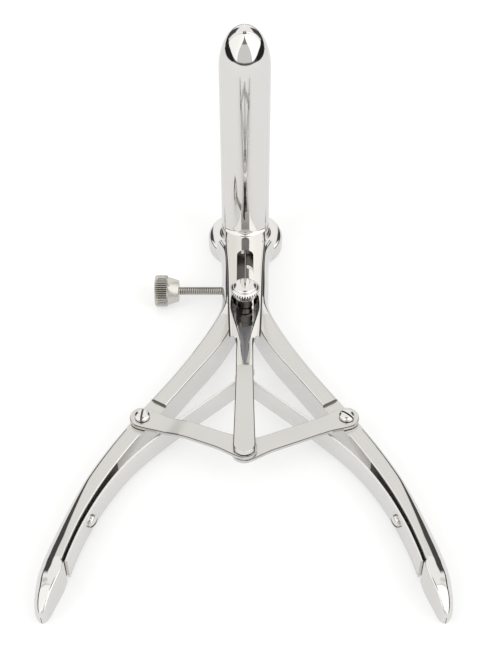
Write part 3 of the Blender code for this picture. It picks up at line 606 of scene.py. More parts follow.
def grooves_tree():
    """Cuts straight ridges where a turned piece is marked knurl, and a thread where it is marked thread."""
    tree, given = new_tree("cut_grooves", (
        ("Teeth", "Int", 36), ("Knurl Depth", "Float", 0.3 * MM),
        ("Pitch", "Float", 0.6 * MM), ("Thread Depth", "Float", 0.2 * MM),
    ))

    def times(first, second):
        return calc(tree, "MULTIPLY", first, second)

    position = add(tree, "GeometryNodeInputPosition").outputs[0]
    x, y, z = add(tree, "ShaderNodeSeparateXYZ", {0: position}).outputs
    angle = calc(tree, "ARCTAN2", y, x)
    ridge = calc(tree, "COSINE", times(angle, given["Teeth"]))
    ridge = times(calc(tree, "SUBTRACT", 1.0, ridge), 0.5)
    turn = calc(tree, "DIVIDE", angle, 2 * math.pi)
    climb = calc(tree, "ADD", calc(tree, "DIVIDE", z, given["Pitch"]), turn)
    groove = times(calc(tree, "PINGPONG", climb, 0.5), 2.0)
    waves, drops = [], []
    for mark, wave, depth in (("knurl", ridge, "Knurl Depth"), ("thread", groove, "Thread Depth")):
        marked = add(tree, "GeometryNodeInputNamedAttribute", {"Name": mark}, data_type="FLOAT")
        waves.append(times(wave, marked.outputs["Attribute"]))
        drops.append(times(waves[-1], given[depth]))
    inward = times(calc(tree, "ADD", *drops), -1.0)
    offset = add(tree, "ShaderNodeCombineXYZ", {
        0: times(calc(tree, "COSINE", angle), inward), 1: times(calc(tree, "SINE", angle), inward),
    })
    moved = add(tree, "GeometryNodeSetPosition", {"Geometry": given["Geometry"], "Offset": offset.outputs[0]})
    # The groove mark kept here tells the finishes where to paint shade into knurls and threads
    kept = add(tree, "GeometryNodeStoreNamedAttribute", {
        "Geometry": moved.outputs[0], "Name": "groove", "Value": calc(tree, "MAXIMUM", *waves),
    }, data_type="FLOAT", domain="POINT")
    return end_tree(tree, kept.outputs[0], given["Material"])


def strip_tree():
    """Sweeps a flat strip along a polyline."""
    tree, given = new_tree("sweep_strip", (("Thickness", "Float", 0.8 * MM), ("Height", "Float", 7 * MM)))
    line = add(tree, "GeometryNodeMeshToCurve", {"Mesh": given["Geometry"]})
    upright = add(tree, "GeometryNodeSetCurveNormal", {"Curve": line.outputs[0]}, mode="Z_UP")
    section = add(tree, "GeometryNodeCurvePrimitiveQuadrilateral", {
        "Width": given["Thickness"], "Height": given["Height"],
    })
    rounding = calc(tree, "MULTIPLY", given["Thickness"], 0.25)
    rounded = add(tree, "GeometryNodeFilletCurve", {
        "Curve": section.outputs[0], "Count": 3, "Radius": rounding,
    }, mode="POLY")
    sweep = add(tree, "GeometryNodeCurveToMesh", {
        "Curve": upright.outputs[0], "Profile Curve": rounded.outputs[0], "Fill Caps": True,
    })
    return end_tree(tree, sweep.outputs[0], given["Material"])


def run_tree(item, build_tree, values):
    """Put a tree on an object with its named inputs, and keep the plain mesh that it makes."""
    name = build_tree.__name__
    tree = bpy.data.node_groups.get(name) or build_tree()
    tree.name = name
    modifier = item.modifiers.new(name, "NODES")
    modifier.node_group = tree
    for socket in tree.interface.items_tree:
        if socket.in_out == "INPUT" and socket.name in values:
            modifier[socket.identifier] = values[socket.name]
    bake(item)


# Finishes

def marks_group(name):
    """Height and tone of the marks that a polishing wheel or a brush leaves."""
    tree = bpy.data.node_groups.get(name)
    if tree:
        return tree
    height, tone, stretch, both = MARKS[name][:4]
    outputs = (("Height", "Float"), ("Tone", "Float"))
    tree, given = new_group(name, "ShaderNodeTree", (("Vector", "Vector", None),), outputs)
    stretched = add(tree, "ShaderNodeMapping", {"Vector": given["Vector"], "Scale": stretch}).outputs[0]
    ends = {}
    for label, vector, (scale, detail, roughness) in (
        ("Height", stretched if both else given["Vector"], height), ("Tone", stretched, tone),
    ):
        noise = {"Vector": vector, "Scale": scale, "Detail": detail, "Roughness": roughness}
        ends[label] = add(tree, "ShaderNodeTexNoise", noise).outputs["Fac"]
    add(tree, "NodeGroupOutput", ends)
    return tree


def finish(name):
    """Steel with its marks, painted shade at the bottom of knurls and threads, and polished past its fades.
    """
    look = bpy.data.materials.get(name + "_finish")
    if look:
        return look
    look = bpy.data.materials.new(name + "_finish")
    look.use_nodes = True
    tree = look.node_tree
    colours = sizes().finish
    roughness, marks, coordinates, fades = FINISHES[name]
    distance = (colours.waviness if marks == "hand_polish" else 0.01 * colours.brushing) * MM
    spread, tint = MARKS[marks][4:]
    where = add(tree, "ShaderNodeTexCoord").outputs
    group = add(tree, "ShaderNodeGroup", {"Vector": where[coordinates]}, node_tree=marks_group(marks))
    height, tone = group.outputs
    rough = add(tree, "ShaderNodeMapRange", {
        "Value": tone, "From Min": 0.3, "From Max": 0.7,
        "To Min": max(roughness - spread, 0.02), "To Max": roughness + spread,
    }).outputs["Result"]
    along = add(tree, "ShaderNodeSeparateXYZ", {0: where["Object"]}).outputs[1]
    for brushed_end, polished_end in fades:
        fade = ramp(tree, along, brushed_end, polished_end, 1.0, POLISHED_SHARE)
        rough = calc(tree, "MULTIPLY", rough, fade)
    base = getattr(colours, name)
    low, high = [(*[min(channel * part, 1.0) for channel in base], 1.0) for part in (1 - tint, 1 + tint)]
    shade = add(tree, "ShaderNodeMix", {"Factor": tone, "A": low, "B": high}, data_type="RGBA")
    # Painted shade: the colour turns near-black at the bottom of the grooves
    groove = add(tree, "ShaderNodeAttribute", attribute_name="groove").outputs["Fac"]
    groove_shade = add(tree, "ShaderNodeMix", {
        "Factor": calc(tree, "POWER", groove, 1.8), "A": shade.outputs["Result"], "B": GROOVE_SHADE,
    }, data_type="RGBA")
    bump = add(tree, "ShaderNodeBump", {"Distance": distance, "Height": height})
    feed(tree, tree.nodes["Principled BSDF"], {
        "Metallic": 1.0, "Roughness": rough,
        "Base Color": groove_shade.outputs["Result"], "Normal": bump.outputs["Normal"],
    })
    return look


# Levers

def bar_section(width, low, high, bulge, edge, arc_steps=16, fillet_steps=4):
    """Section of a handle as (reach from the inner face, height) pairs."""
    half, middle = (high - low) / 2, (high + low) / 2
    edge = min(edge, 0.3 * width, 0.3 * half)
    points = [(edge - edge * math.sin(a), low + edge - edge * math.cos(a)) for a in quarter(fillet_steps)]
    points += [(edge - edge * math.cos(a), high - edge + edge * math.sin(a)) for a in quarter(fillet_steps)]
    for step in range(arc_steps + 1):
        angle = math.pi / 2 - math.pi * step / arc_steps
        points.append((width - bulge + bulge * max(math.cos(angle), 0.0), middle + half * math.sin(angle)))
    return points


def bar_ring(side, row, bulge):
    ox, oy, ix, iy, low, high = [value * MM for value in row]
    ox, low = min(ox, WIDEST * MM), max(low, 0.0)
    outer, inner = Vector((side * ox, oy, 0)), Vector((side * ix, iy, 0))
    across = outer - inner
    width = across.length
    across.normalize()
    section = bar_section(width, low, high, min(bulge, 0.85 * width), sizes().lever.edge)
    return [inner + across * reach + Vector((0, 0, z)) for reach, z in section]


def handle_bar(side):
    """Handle, neck and heel as one bar."""
    lever = sizes().lever
    height = lever.height / MM
    rows = smooth_run([(*outer, *inner, 0.0, height) for outer, inner in HANDLE_PAIRS], 8)
    rings = []
    for place, row in enumerate(rows):
        rise = clamp((place / (len(rows) - 1) - lever.crown_start) / lever.crown_run)
        rings.append(bar_ring(side, row, lever.neck_crown + (lever.heel_crown - lever.neck_crown) * rise))
    heel = smooth_run([(*outer, *inner, low, height - depth) for outer, inner, low, depth in HEEL], 6)
    rings += [bar_ring(side, row, lever.heel_crown) for row in heel]
    return loft("handle_bar", rings)


def tube_frame():
    return Matrix.Translation((0, sizes().tube.axis_y, 0))


def tube_with_flange():
    tube = sizes().tube
    rim, foot_edge, flare = tube.rim, tube.rim_foot, tube.flare
    start = tube.top - tube.nose
    profile = [(0, 0)] + arc((tube.flange - foot_edge, foot_edge), (foot_edge, foot_edge), -90, 0, 6)
    profile += arc((tube.flange - rim, tube.flange_height - rim), (rim, rim), 0, 90, 14)
    profile += arc((tube.radius + flare, tube.flange_height + flare), (flare, flare), -90, -180, 10)
    profile += straight((tube.radius, profile[-1][1]), (tube.radius, start), 12)[:-1]
    profile += nose(tube.radius, start, tube.nose)
    return turned("tube", profile, TUBE_STEPS, tube_frame())


def bore():
    tube = sizes().tube
    inner = tube.radius - tube.wall
    profile = [(0, -1 * MM), (tube.mouth, -1 * MM)]
    profile += arc((tube.mouth, tube.mouth_depth), (tube.mouth - inner, tube.mouth_depth), -90, -180, 16)
    profile += nose(inner, tube.top - tube.nose, tube.nose - tube.wall)
    return turned("bore", profile, TUBE_STEPS, tube_frame())


def side_prism(outline, half_width):
    rings = [[Vector((x, y, z)) for y, z in outline] for x in (-half_width, half_width)]
    return loft("side_prism", rings)


def front_region(shift):
    """Side view of the third blade's space, its seams moved by a shift."""
    tube = sizes().tube
    start = tube.top - tube.nose
    seam = tube.axis_y - tube.setback + shift
    crown = tube.axis_y - tube.crown_setback + shift
    crown_z = start + tube.crown * tube.nose
    low = sizes().lever.height
    return (-FAR, low), (seam, low), (seam, start), (crown, crown_z), (crown, FAR), (-FAR, FAR)


def recess(side):
    lever, link = sizes().lever, sizes().link
    (ax, ay), (bx, by) = HANDLE_PAIRS[9][0], HANDLE_PAIRS[10][0]
    along = Vector((side * (bx - ax), by - ay)).normalized()
    across = Vector((-along.y, along.x)) * 8 * MM
    centre = Vector((side * link.screw_x, link.screw_y))
    rear, front = along * lever.recess_rear, along * lever.recess_front
    rear, front, top = centre + rear, centre - front, lever.height
    corners = (rear + across, rear - across, front - across, front + across)
    return prism("recess", [tuple(corner) for corner in corners], top - lever.recess, top + MM)


def spring_run(side, per_span=6):
    return [Vector((side * x * MM, y * MM)) for x, y in smooth_run(SPRING_PATH, per_span)]


def along_run(run, distance):
    """Point and direction at a distance from the start of a run."""
    for start, end in zip(run, run[1:]):
        span = (end - start).length
        if distance <= span:
            return start + (end - start) * (distance / span), (end - start).normalized()
        distance -= span
    return run[-1], (run[-1] - run[-2]).normalized()


def spring_screw_frame(side):
    """Frame at the spring's middle line: Z points away from the handle."""
    spring = sizes().spring
    point, direction = along_run(spring_run(side), spring.screw_distance)
    inward = Vector((-direction.y, direction.x, 0)) * side
    up = Vector((0, 0, 1))
    place = Matrix((up.cross(inward), up, inward)).transposed().to_4x4()
    place.translation = (point.x, point.y, (spring.low + spring.high) / 2)
    return place


def thumb_frame():
    place = Matrix.Rotation(math.pi / 2, 4, "Y")
    place.translation = (0, sizes().thumb.y, sizes().thumb.z)
    return place


def lever_look(side):
    """Flat tops and inner faces are brushed, hollows carry painted shade, all else is polished."""
    lever, arm, near = sizes().lever, sizes().arm, 0.1 * MM
    top = lever.height - near
    seat = lever.height - lever.recess - near / 2
    half = sizes().pivot.bush + GAP + near
    front, rear = arm.slot_front + near, arm.slot_rear - near

    def choose(centre, normal):
        # Painted shade in the channel under the slot, except for its polished stretch just in front of the
        # pivot
        if abs(centre.x) < half and 2 * MM < centre.z < top and rear < centre.y < front:
            return 0 if 0 < centre.y < BRIGHT_SLOT else 2
        if centre.y > BRUSHED_FRONT:
            return 0
        if abs(normal.z) > 0.97:
            return 1 if centre.y > BRUSHED_REAR else 0
        upright = abs(normal.z) < 0.3
        on_step = centre.z > seat and STEP_SHADOW[0] < centre.y < STEP_SHADOW[1]
        # Painted shade on the walls of the steps down into the link's recess
        if upright and abs(normal.y) > 0.75 and on_step:
            return 2
        # Inner faces: brushed in front of the seat's shadow, painted shade along the narrow gap beside the
        # spring's seat behind it
        if upright and normal.x * side < -0.6 and centre.y > SEAT_REAR:
            return 3 if centre.y > SEAT_SHADOW else 2
        return 0
    return choose


def lever(side, name, low, high):
    """Side blade, half flange, neck and handle; its lobe fills low to high in the lap joint."""
    s = sizes()
    body = handle_bar(side)
    join(body, tube_with_flange())
    cut(body, bore())
    cut(body, side_prism(front_region(RUNNING_GAP), FAR))
    middle, lobe = side * RUNNING_GAP, s.lever.lobe
    beyond = [(middle, -lobe), (-side * FAR, -lobe), (-side * FAR, FAR), (middle, FAR)]
    cut(body, prism("other_half", beyond, -FAR, FAR))
    clearing = (-FAR, low - RUNNING_GAP) if low > 0 else (high + RUNNING_GAP, FAR)
    cut(body, disc("clearing", lobe + RUNNING_GAP, *clearing))
    join(body, disc("lobe", lobe, low, high))
    cut(body, disc("stud_hole", s.pivot.stud + GAP, -FAR, FAR))
    cut(body, recess(side))
    cut(body, arm_slot(s.lever.height - s.lever.channel))
    body.name = name
    return body


class SPECULUM_OT_levers(bpy.types.Operator):
    """Both levers, from the handle's heel to the side blade's nose"""
    bl_idname = "speculum.levers"
    bl_label = "Levers"

    def execute(self, context):
        height = sizes().lever.height
        laps = ((0.0, height / 2 - RUNNING_GAP), (height / 2 + RUNNING_GAP, height))
        for (side, name), lap in zip(SIDES, laps):
            body = lever(side, name + "_lever_polished", *lap)
            dress(body, ("mirror", "satin", "dark", "spring"), lever_look(side))
            finish_piece(body, name + "_lever", name + "_lever")
        return {"FINISHED"}


# Third blade

def seam_y(z):
    tube = sizes().tube
    start = tube.top - tube.nose
    rise = clamp((z - start) / (tube.crown * tube.nose))
    return -tube.setback + (tube.setback - tube.crown_setback) * rise


def cylinder_row(radius, z, setback, columns):
    """Points across a cylinder's front, from edge to edge, at one height."""
    axis_y = sizes().tube.axis_y
    reach = math.acos(min(setback / radius, 1.0))
    angles = [reach * column / columns for column in range(-columns, columns + 1)]
    return [Vector((radius * math.sin(a), axis_y - radius * math.cos(a), z)) for a in angles]


def trough_rows(columns, nose_steps=26):
    """Outer and inner rows of the trough, from the tip down to the fold."""
    tube, arm = sizes().tube, sizes().arm
    start = tube.top - tube.nose
    bore_radius = tube.radius - tube.wall
    fold_z = arm_underside() + arm.thickness + arm.fold
    last = math.acos(tube.crown_setback / tube.radius)
    for step in range(nose_steps, 0, -1):
        angle = last * step / nose_steps
        across = math.cos(angle)
        z = start + tube.nose * math.sin(angle)
        inner_z = start + (tube.nose - tube.wall) * math.sin(angle)
        yield trough_pair(tube.radius * across, bore_radius * across, z, inner_z, tube.radius, columns)
    widths = smooth_run([
        (start / MM, 8.6), (0.6 * start / MM, 8.6),
        (fold_z / MM + 14, 7.9), (fold_z / MM + 5, 7.2), (fold_z / MM, 7.1),
    ], 6)
    for z, half_width in widths:
        yield trough_pair(tube.radius, bore_radius, z * MM, z * MM, half_width * MM, columns)


def trough_pair(outer_radius, inner_radius, z, inner_z, half_width, columns):
    setback = max(-seam_y(z), math.sqrt(max(outer_radius ** 2 - half_width ** 2, 0.0)))
    outer = cylinder_row(outer_radius, z, setback, columns)
    edge = sizes().tube.axis_y - outer[0].y
    if inner_radius < edge:
        return outer, [Vector((0.0, outer[0].y, inner_z)) for _ in outer]
    return outer, cylinder_row(inner_radius, inner_z, edge, columns)


def fold_rows(outer, inner, steps=14):
    """Rows round the fold, from the foot of the trough to the flat arm."""
    arm = sizes().arm
    centre_z = arm_underside() + arm.thickness + arm.fold
    for angle in quarter(steps)[1:]:
        along, down = math.cos(angle), math.sin(angle)
        upper, lower = [], []
        for top, under in zip(outer, inner):
            centre_y, wall = top.y - arm.fold, under.y - top.y
            upper.append(Vector((top.x, centre_y + arm.fold * along, centre_z - arm.fold * down)))
            lower.append(Vector((
                under.x + (top.x - under.x) * down,
                centre_y + (arm.fold + wall) * along,
                centre_z - (arm.fold + arm.thickness) * down,
            )))
        yield upper, lower


def arm_stations():
    """Along the arm, in mm: place, half width, lift (0 to 1), valley half width and depth (0 to 1)."""
    arm = sizes().arm
    wide, shoulder, narrow = arm.half_width / MM, arm.shoulder / MM, arm.tongue / MM
    shoulder_y, valley_end = arm.shoulder_y / MM, arm.valley_end / MM
    pivot_y, end = sizes().link.pivot_y / MM, narrow + 0.55
    # The second number is the fold's share in the half width, then what is added to the tongue's
    front = (
        (29.0, 1.0, 0.0, 3.0, 0.0), (26.0, 1.0, 0.0, 3.0, 0.0), (14.0, 0.6, 0.0, 4.0, 0.0),
        (4.0, 0.45, 0.0, 4.6, 0.0), (1.0, 0.4, 0.0, 4.6, 0.25), (-2.0, 0.35, 0.0, 4.8, 1.0),
        (-6.0, 0.3, 0.0, 4.9, 1.0), (-10.0, 0.2, 0.0, 4.2, 1.0), (-15.0, 0.1, 0.02, 3.0, 1.0),
        (shoulder_y + 1.2, 0.0, 0.08, 2.2, 1.0),
    )
    rear = (
        (shoulder_y - 0.6, 0.35, 0.14, 1.9, 1.0), (shoulder_y - 3.0, 0.0, 0.3, 1.6, 1.0),
        (shoulder_y - 8.0, 0.0, 0.66, 1.25, 1.0), (valley_end + 3.2, 0.0, 0.85, 0.9, 1.0),
        (valley_end + 1.0, 0.0, 0.95, 0.55, 0.6), (valley_end - 0.2, 0.0, 0.98, 0.3, 0.0),
        (valley_end - 3.0, 0.0, 1.0, 0.3, 0.0), (-50.0, 0.2, 1.0, 0.3, 0.0), (pivot_y, 0.55, 1.0, 0.3, 0.0),
    )
    stations = smooth_run([(y, part * wide + (1 - part) * shoulder, *rest) for y, part, *rest in front], 6)
    stations += [
        (shoulder_y + 0.4, shoulder - 0.04, 0.1, 2.05, 1.0),
        (shoulder_y, shoulder - 0.35, 0.12, 2.0, 1.0),
        (shoulder_y - 0.12, narrow + 1.0, 0.125, 1.95, 1.0),
    ]
    stations += smooth_run([(y, narrow + more, *rest) for y, more, *rest in rear], 6)
    for angle in quarter(14)[1:]:
        stations.append((pivot_y - end * math.sin(angle), max(end * math.cos(angle), 0.2), 1.0, 0.1, 0.0))
    return stations


def valley_drop(x, depth):
    """Drop below the rim at a share of the valley's half width: short steep sides and a nearly flat floor."""
    floor = 0.8
    if x < floor:
        return depth * (1.05 - 0.05 * (x / floor) ** 2)
    return depth * smooth((1 - x) / (1 - floor))


def arm_rows(columns):
    """Upper and lower rows of the arm, its shoulders and the tongue."""
    arm = sizes().arm
    top_flat = arm_underside() + arm.thickness
    top_tongue = tongue_top()
    fillet_steps, flat = 4, 3
    rest = columns - fillet_steps - flat
    for y, half, lift, valley, deep in arm_stations():
        half, valley = half * MM, max(valley, 0.1) * MM
        lift, deep = clamp(lift), clamp(deep)
        top = top_flat + (top_tongue - top_flat) * lift
        depth = (top - top_flat + arm.valley) * deep
        thick = arm.thickness + (arm.tongue_thickness - arm.thickness) * lift
        edge = min(arm.edge * (1 - 0.5 * lift), 0.45 * half, 0.45 * thick)
        valley = min(valley, half - 1.1 * edge)
        side = [(half - edge + edge * math.cos(a), edge - edge * math.sin(a)) for a in quarter(fillet_steps)]
        side += straight((half - edge, 0.0), (valley, 0.0), flat)
        for step in range(1, rest):
            x = (1 - step / rest) ** 0.7
            side.append((valley * x, valley_drop(x, depth)))
        across = [(-x, drop) for x, drop in side] + [(0.0, valley_drop(0.0, depth))] + side[::-1]
        yield (
            [Vector((x, y * MM, top - drop)) for x, drop in across],
            [Vector((x, y * MM, min(top - thick, top - drop - 0.6 * thick))) for x, drop in across],
        )


def arm_slot(floor):
    """Long hole of the arm, and the channel under it in the levers, from its floor up."""
    arm = sizes().arm
    half = sizes().pivot.bush + GAP
    outline = arc((0, arm.slot_front - half), (half, half), 0, 180, 32)
    outline += arc((0, arm.slot_rear + half), (half, half), 180, 360, 32)
    return prism("slot", outline, floor, FAR)


def blade_look():
    """Brushed tongue, painted reflection on the valley floor, painted shade along the edges of arm and
    tongue, all else is polished.
    """
    arm = sizes().arm
    front = arm.slot_front + 3 * MM
    shoulder_y, valley_end, valley_start = arm.shoulder_y - 0.3 * MM, arm.valley_end - 0.5 * MM, 0.0
    tongue_rim, arm_rim = arm.tongue - 0.8 * MM, arm.shoulder - 0.8 * MM
    floor_top = arm_underside() + arm.thickness - 0.5 * arm.valley

    def choose(centre, normal):
        if centre.y > front:
            return 0
        tongue = centre.y < shoulder_y
        rim = abs(centre.x) > (tongue_rim if tongue else arm_rim)
        # Painted shade: a thin line along the upright sides of arm and tongue, where the gap to the levers
        # lies in shade
        if rim and abs(normal.x) > (0.5 if tongue else 0.35) and abs(normal.y) < 0.5:
            return 2
        if centre.y < valley_end:
            return 1 if abs(normal.z) > 0.9 else 0
        # Painted reflection on the valley floor behind the slot
        return 3 if centre.z < floor_top and normal.z > 0.95 and centre.y < valley_start else 0
    return choose


class SPECULUM_OT_third_blade(bpy.types.Operator):
    """Third blade: trough, fold, slotted arm and tongue"""
    bl_idname = "speculum.third_blade"
    bl_label = "Third Blade"

    def execute(self, context):
        columns = 20
        rows = list(trough_rows(columns))
        rows += list(fold_rows(*rows[-1]))
        rows += list(arm_rows(columns))
        body = loft("third_blade_polished", [upper + lower[::-1] for upper, lower in rows])
        cut(body, arm_slot(0.0))
        dress(body, ("mirror", "satin", "dark", "shaded"), blade_look())
        finish_piece(body, "third_blade", "third_blade")
        return {"FINISHED"}


# Pivot

def round_head(radius, low, height, steps=10):
    """Domed head with a short upright edge."""
    edge = 0.35 * height
    run = [(radius, low), (radius, low + edge)]
    run += arc((0, low + edge), (radius, height - edge), 0, 90, steps)[1:-1]
    return run + [(0, low + height)]


class SPECULUM_OT_nut(bpy.types.Operator):
    """Knurled nut with a polished dome"""
    bl_idname = "speculum.nut"
    bl_label = "Pivot Nut"

    def execute(self, context):
        pivot = sizes().pivot
        low, top = (corner.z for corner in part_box("pivot_nut"))
        knurl, edge = low + pivot.knurl, 0.25 * MM
        shoulder = (pivot.nut - 1.1 * MM, knurl + 0.75 * MM)
        profile = [(0, low), (pivot.foot - 0.3 * MM, low), (pivot.foot, low + edge)]
        profile += straight(profile[-1], (pivot.nut - 0.1 * MM, knurl - edge), 5) + [(pivot.nut, knurl)]
        marks = (("knurl", range(2, len(profile))), ("thread", ()))
        profile += straight(profile[-1], shoulder, 2)
        rise = top - shoulder[1]
        for angle in quarter(20)[1:-1]:
            reach, lift = math.cos(angle) ** 0.9, math.sin(angle) ** 0.8
            profile.append((shoulder[0] * reach, shoulder[1] + rise * lift))
        body = turned("pivot_nut_knurled", profile + [(0, top)], pivot.teeth * 8, marks=marks)
        run_tree(body, grooves_tree, {
            "Teeth": pivot.teeth, "Knurl Depth": pivot.knurl_depth, "Material": finish("mirror"),
        })
        finish_piece(body, "nut", "pivot_nut")
        return {"FINISHED"}


class SPECULUM_OT_stud(bpy.types.Operator):
    """Painted shade on the stud and its bush, which sit in the slot's shade, and the finish of the rivet
    under the tongue
    """
    bl_idname = "speculum.stud"
    bl_label = "Stud and Rivet"

    def execute(self, context):
        # Painted shade: stud and bush take the near-black steel
        for name, look in (("pivot_stud", "dark"), ("slot_bush", "dark"), ("link_rivet", "turned")):
            dress(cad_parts[name], (look,))
        return {"FINISHED"}


# Links and screws

def link(side, name, joggle):
    """Flat link with an eye at each end, bent up where it passes the other."""
    own = sizes().link
    start = Vector((side * own.screw_x, own.screw_y))
    end = Vector((0, own.pivot_y))
    span = (end - start).length
    along = (end - start) / span
    across = Vector((-along.y, along.x))
    eye, waist, run = own.eye, own.half_width, EYE_RUN
    eases = [(step / 8, 0.5 - 0.5 * math.cos(math.pi * step / 8)) for step in range(1, 9)]
    places = [(-eye * math.cos(a), eye * math.sin(a)) for a in quarter(16)]
    places += [(run * part, eye + (waist - eye) * ease) for part, ease in eases]
    places += straight((run, waist), (span - run, waist), 16)
    places += [(span - run + run * part, waist + (eye - waist) * ease) for part, ease in eases[:-1]]
    places += [(span + eye * math.sin(a), eye * math.cos(a)) for a in quarter(16)]
    rings = []
    low = link_underside()
    for reach, half in places:
        half = max(half, 0.25 * MM)
        base = low + joggle * smooth((reach / span - 0.2) / 0.3)
        top = base + own.thickness
        edge = min(LINK_EDGE, 0.4 * half)
        section = [(-half, base), (half, base)]
        section += [(half - edge + edge * math.cos(a), top - edge + edge * math.sin(a)) for a in quarter(3)]
        section += [(-half + edge - edge * math.sin(a), top - edge + edge * math.cos(a)) for a in quarter(3)]
        spots = [(start + along * reach + across * offset, height) for offset, height in section]
        rings.append([Vector((spot.x, spot.y, height)) for spot, height in spots])
    body = loft(name, rings)
    cut(body, disc("screw_eye", own.shank + GAP, 0, 0.03, start.x, start.y, 48))
    cut(body, disc("rivet_eye", own.shank + RIVET_PLAY, 0, 0.03, end.x, end.y, 48))
    return body


class SPECULUM_OT_links(bpy.types.Operator):
    """The two links between handles and tongue"""
    bl_idname = "speculum.links"
    bl_label = "Links"

    def execute(self, context):
        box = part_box("left_link")
        joggle = box[1].z - box[0].z - sizes().link.thickness
        for (side, name), lift in zip(SIDES, (joggle, 0.0)):
            body = link(side, name + "_link_brushed", lift)
            # Painted reflection: the rounded upper edges take the shade steel for the dark lines they mirror
            dress(body, ("satin", "dark"), lambda centre, normal: 1 if 0.25 < normal.z < 0.95 else 0)
            finish_piece(body, name + "_link", name + "_link")
        return {"FINISHED"}


def slotted_screw(node, lever_name, place, shank, head, angle, depth):
    """Screw about a frame's Z: shank (radius, end), domed head (radius, seat, height) and a slot with painted
    shade.
    """
    radius, base = shank
    head_radius, seat, height = head
    profile = [(0, base), (radius, base), (radius, seat)] + round_head(head_radius, seat, height)
    body = turned(node + "_turned", profile, 64, place)
    half, reach, top = sizes().link.screw_slot / 2, 5 * MM, seat + height
    turn = place @ Matrix.Rotation(math.radians(angle), 4, "Z")
    back = turn.inverted()
    outline = ((-half, -reach), (half, -reach), (half, reach), (-half, reach))
    slot = [[turn @ Vector((x, y, z)) for x, y in outline] for z in (top - depth, top + reach)]
    cut(body, loft("screw_slot", slot))

    # Painted shade on the walls and floor of the screwdriver slot
    def choose(centre, normal):
        spot, facing = back @ centre, back.to_3x3() @ normal
        inside = spot.z > seat and abs(spot.x) < half * 1.02
        return 1 if inside and (abs(facing.x) > 0.9 or abs(spot.x) < half * 0.98) else 0

    dress(body, ("mirror", "dark"), choose)
    finish_piece(body, lever_name, node)


class SPECULUM_OT_screws(bpy.types.Operator):
    """Link screws and spring screws with their slots"""
    bl_idname = "speculum.screws"
    bl_label = "Screws"

    def execute(self, context):
        own, spring = sizes().link, sizes().spring
        half = spring.thickness / 2
        spring_shank = (SPRING_SCREW_SHANK, -half - SPRING_SCREW_GRIP)
        spring_head = (spring.head, half + RUNNING_GAP, spring.head_height)
        for (side, name), angle in zip(SIDES, (-5, 50)):
            lever_name, node = name + "_lever", name + "_link_screw"
            base, top = (corner.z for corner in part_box(node))
            place = Matrix.Translation((side * own.screw_x, own.screw_y, 0))
            head = (own.screw_head, top - own.screw_height, own.screw_height)
            slotted_screw(node, lever_name, place, (own.shank, base), head, angle, LINK_SLOT_DEPTH)
            node, place = name + "_spring_screw", spring_screw_frame(side)
            slotted_screw(node, lever_name, place, spring_shank, spring_head, 90, SPRING_SLOT_DEPTH)
        return {"FINISHED"}


# Springs

class SPECULUM_OT_springs(bpy.types.Operator):
    """Leaf springs whose free ends interlock behind the tongue"""
    bl_idname = "speculum.springs"
    bl_label = "Springs"

    def execute(self, context):
        spring = sizes().spring
        middle = (spring.low + spring.high) / 2
        tang = spring.fork - GAP
        for side, name in SIDES:
            run = spring_run(side)
            points = [(point.x, point.y, middle) for point in run]
            steps = [(index, index + 1) for index in range(len(points) - 1)]
            body = new_item(name + "_spring_strip", points, steps, [])
            run_tree(body, strip_tree, {
                "Thickness": spring.thickness, "Height": spring.high - spring.low,
                "Material": finish("spring"),
            })
            total = sum((end - start).length for start, end in zip(run, run[1:]))
            root, direction = along_run(run, total - spring.fork_length)
            across = Vector((-direction.y, direction.x)) * 3 * MM
            tip = root + direction * 2 * spring.fork_length
            plan = [tuple(spot) for spot in (root - across, root + across, tip + across, tip - across)]
            if side < 0:
                cut(body, prism("fork", plan, middle - spring.fork, middle + spring.fork))
            else:
                cut(body, prism("above", plan, middle + tang, FAR))
                cut(body, prism("below", plan, -FAR, middle - tang))
            smooth_faces(body)
            seat, _ = along_run(run, spring.screw_distance + SPRING_FREE)
            start, end = (seat.x, seat.y, middle), (0.0, SPRINGS_MEET, middle)
            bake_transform(body)
            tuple(start)
            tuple(end)
            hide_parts(name + "_spring")
        return {"FINISHED"}


# Thumbscrew

class SPECULUM_OT_thumbscrew(bpy.types.Operator):
    """Knurled thumbscrew with its thread"""
    bl_idname = "speculum.thumbscrew"
    bl_label = "Thumbscrew"

    def execute(self, context):
        thumb = sizes().thumb
        shaft, radius, bevel, point = sizes().pivot.thread, thumb.radius, 0.5 * MM, 0.3 * MM
        end, tip = -thumb.end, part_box("thumbscrew")[1].x
        head = end + thumb.head
        neck = head + thumb.neck
        profile = [(0, end), (radius - 2 * bevel, end), (radius - bevel, end + 0.1 * bevel)]
        profile.append((radius, end + bevel))
        profile += straight(profile[-1], (radius, head - bevel), 4)
        knurled = range(3, len(profile))
        profile += [(thumb.shoulder, head), (thumb.shoulder, head + bevel)]
        profile += [(thumb.neck_radius + 0.3 * bevel, neck - bevel / 2), (thumb.neck_radius, neck)]
        profile.append((shaft, neck))
        first = len(profile)
        rows = int((tip - neck) / thumb.pitch * ROWS_PER_TURN)
        profile += straight(profile[-1], (shaft, tip - point), rows)
        marks = (("knurl", knurled), ("thread", range(first, len(profile))))
        profile += [(shaft - point, tip), (0, tip)]
        body = turned("thumbscrew_knurled", profile, thumb.teeth * 6, marks=marks)
        run_tree(body, grooves_tree, {
            "Teeth": thumb.teeth, "Knurl Depth": thumb.knurl, "Pitch": thumb.pitch,
            "Thread Depth": thumb.groove, "Material": finish("turned"),
        })
        body.data.transform(thumb_frame())
        finish_piece(body, "spreader_screw", "thumbscrew")
        return {"FINISHED"}


# Stage

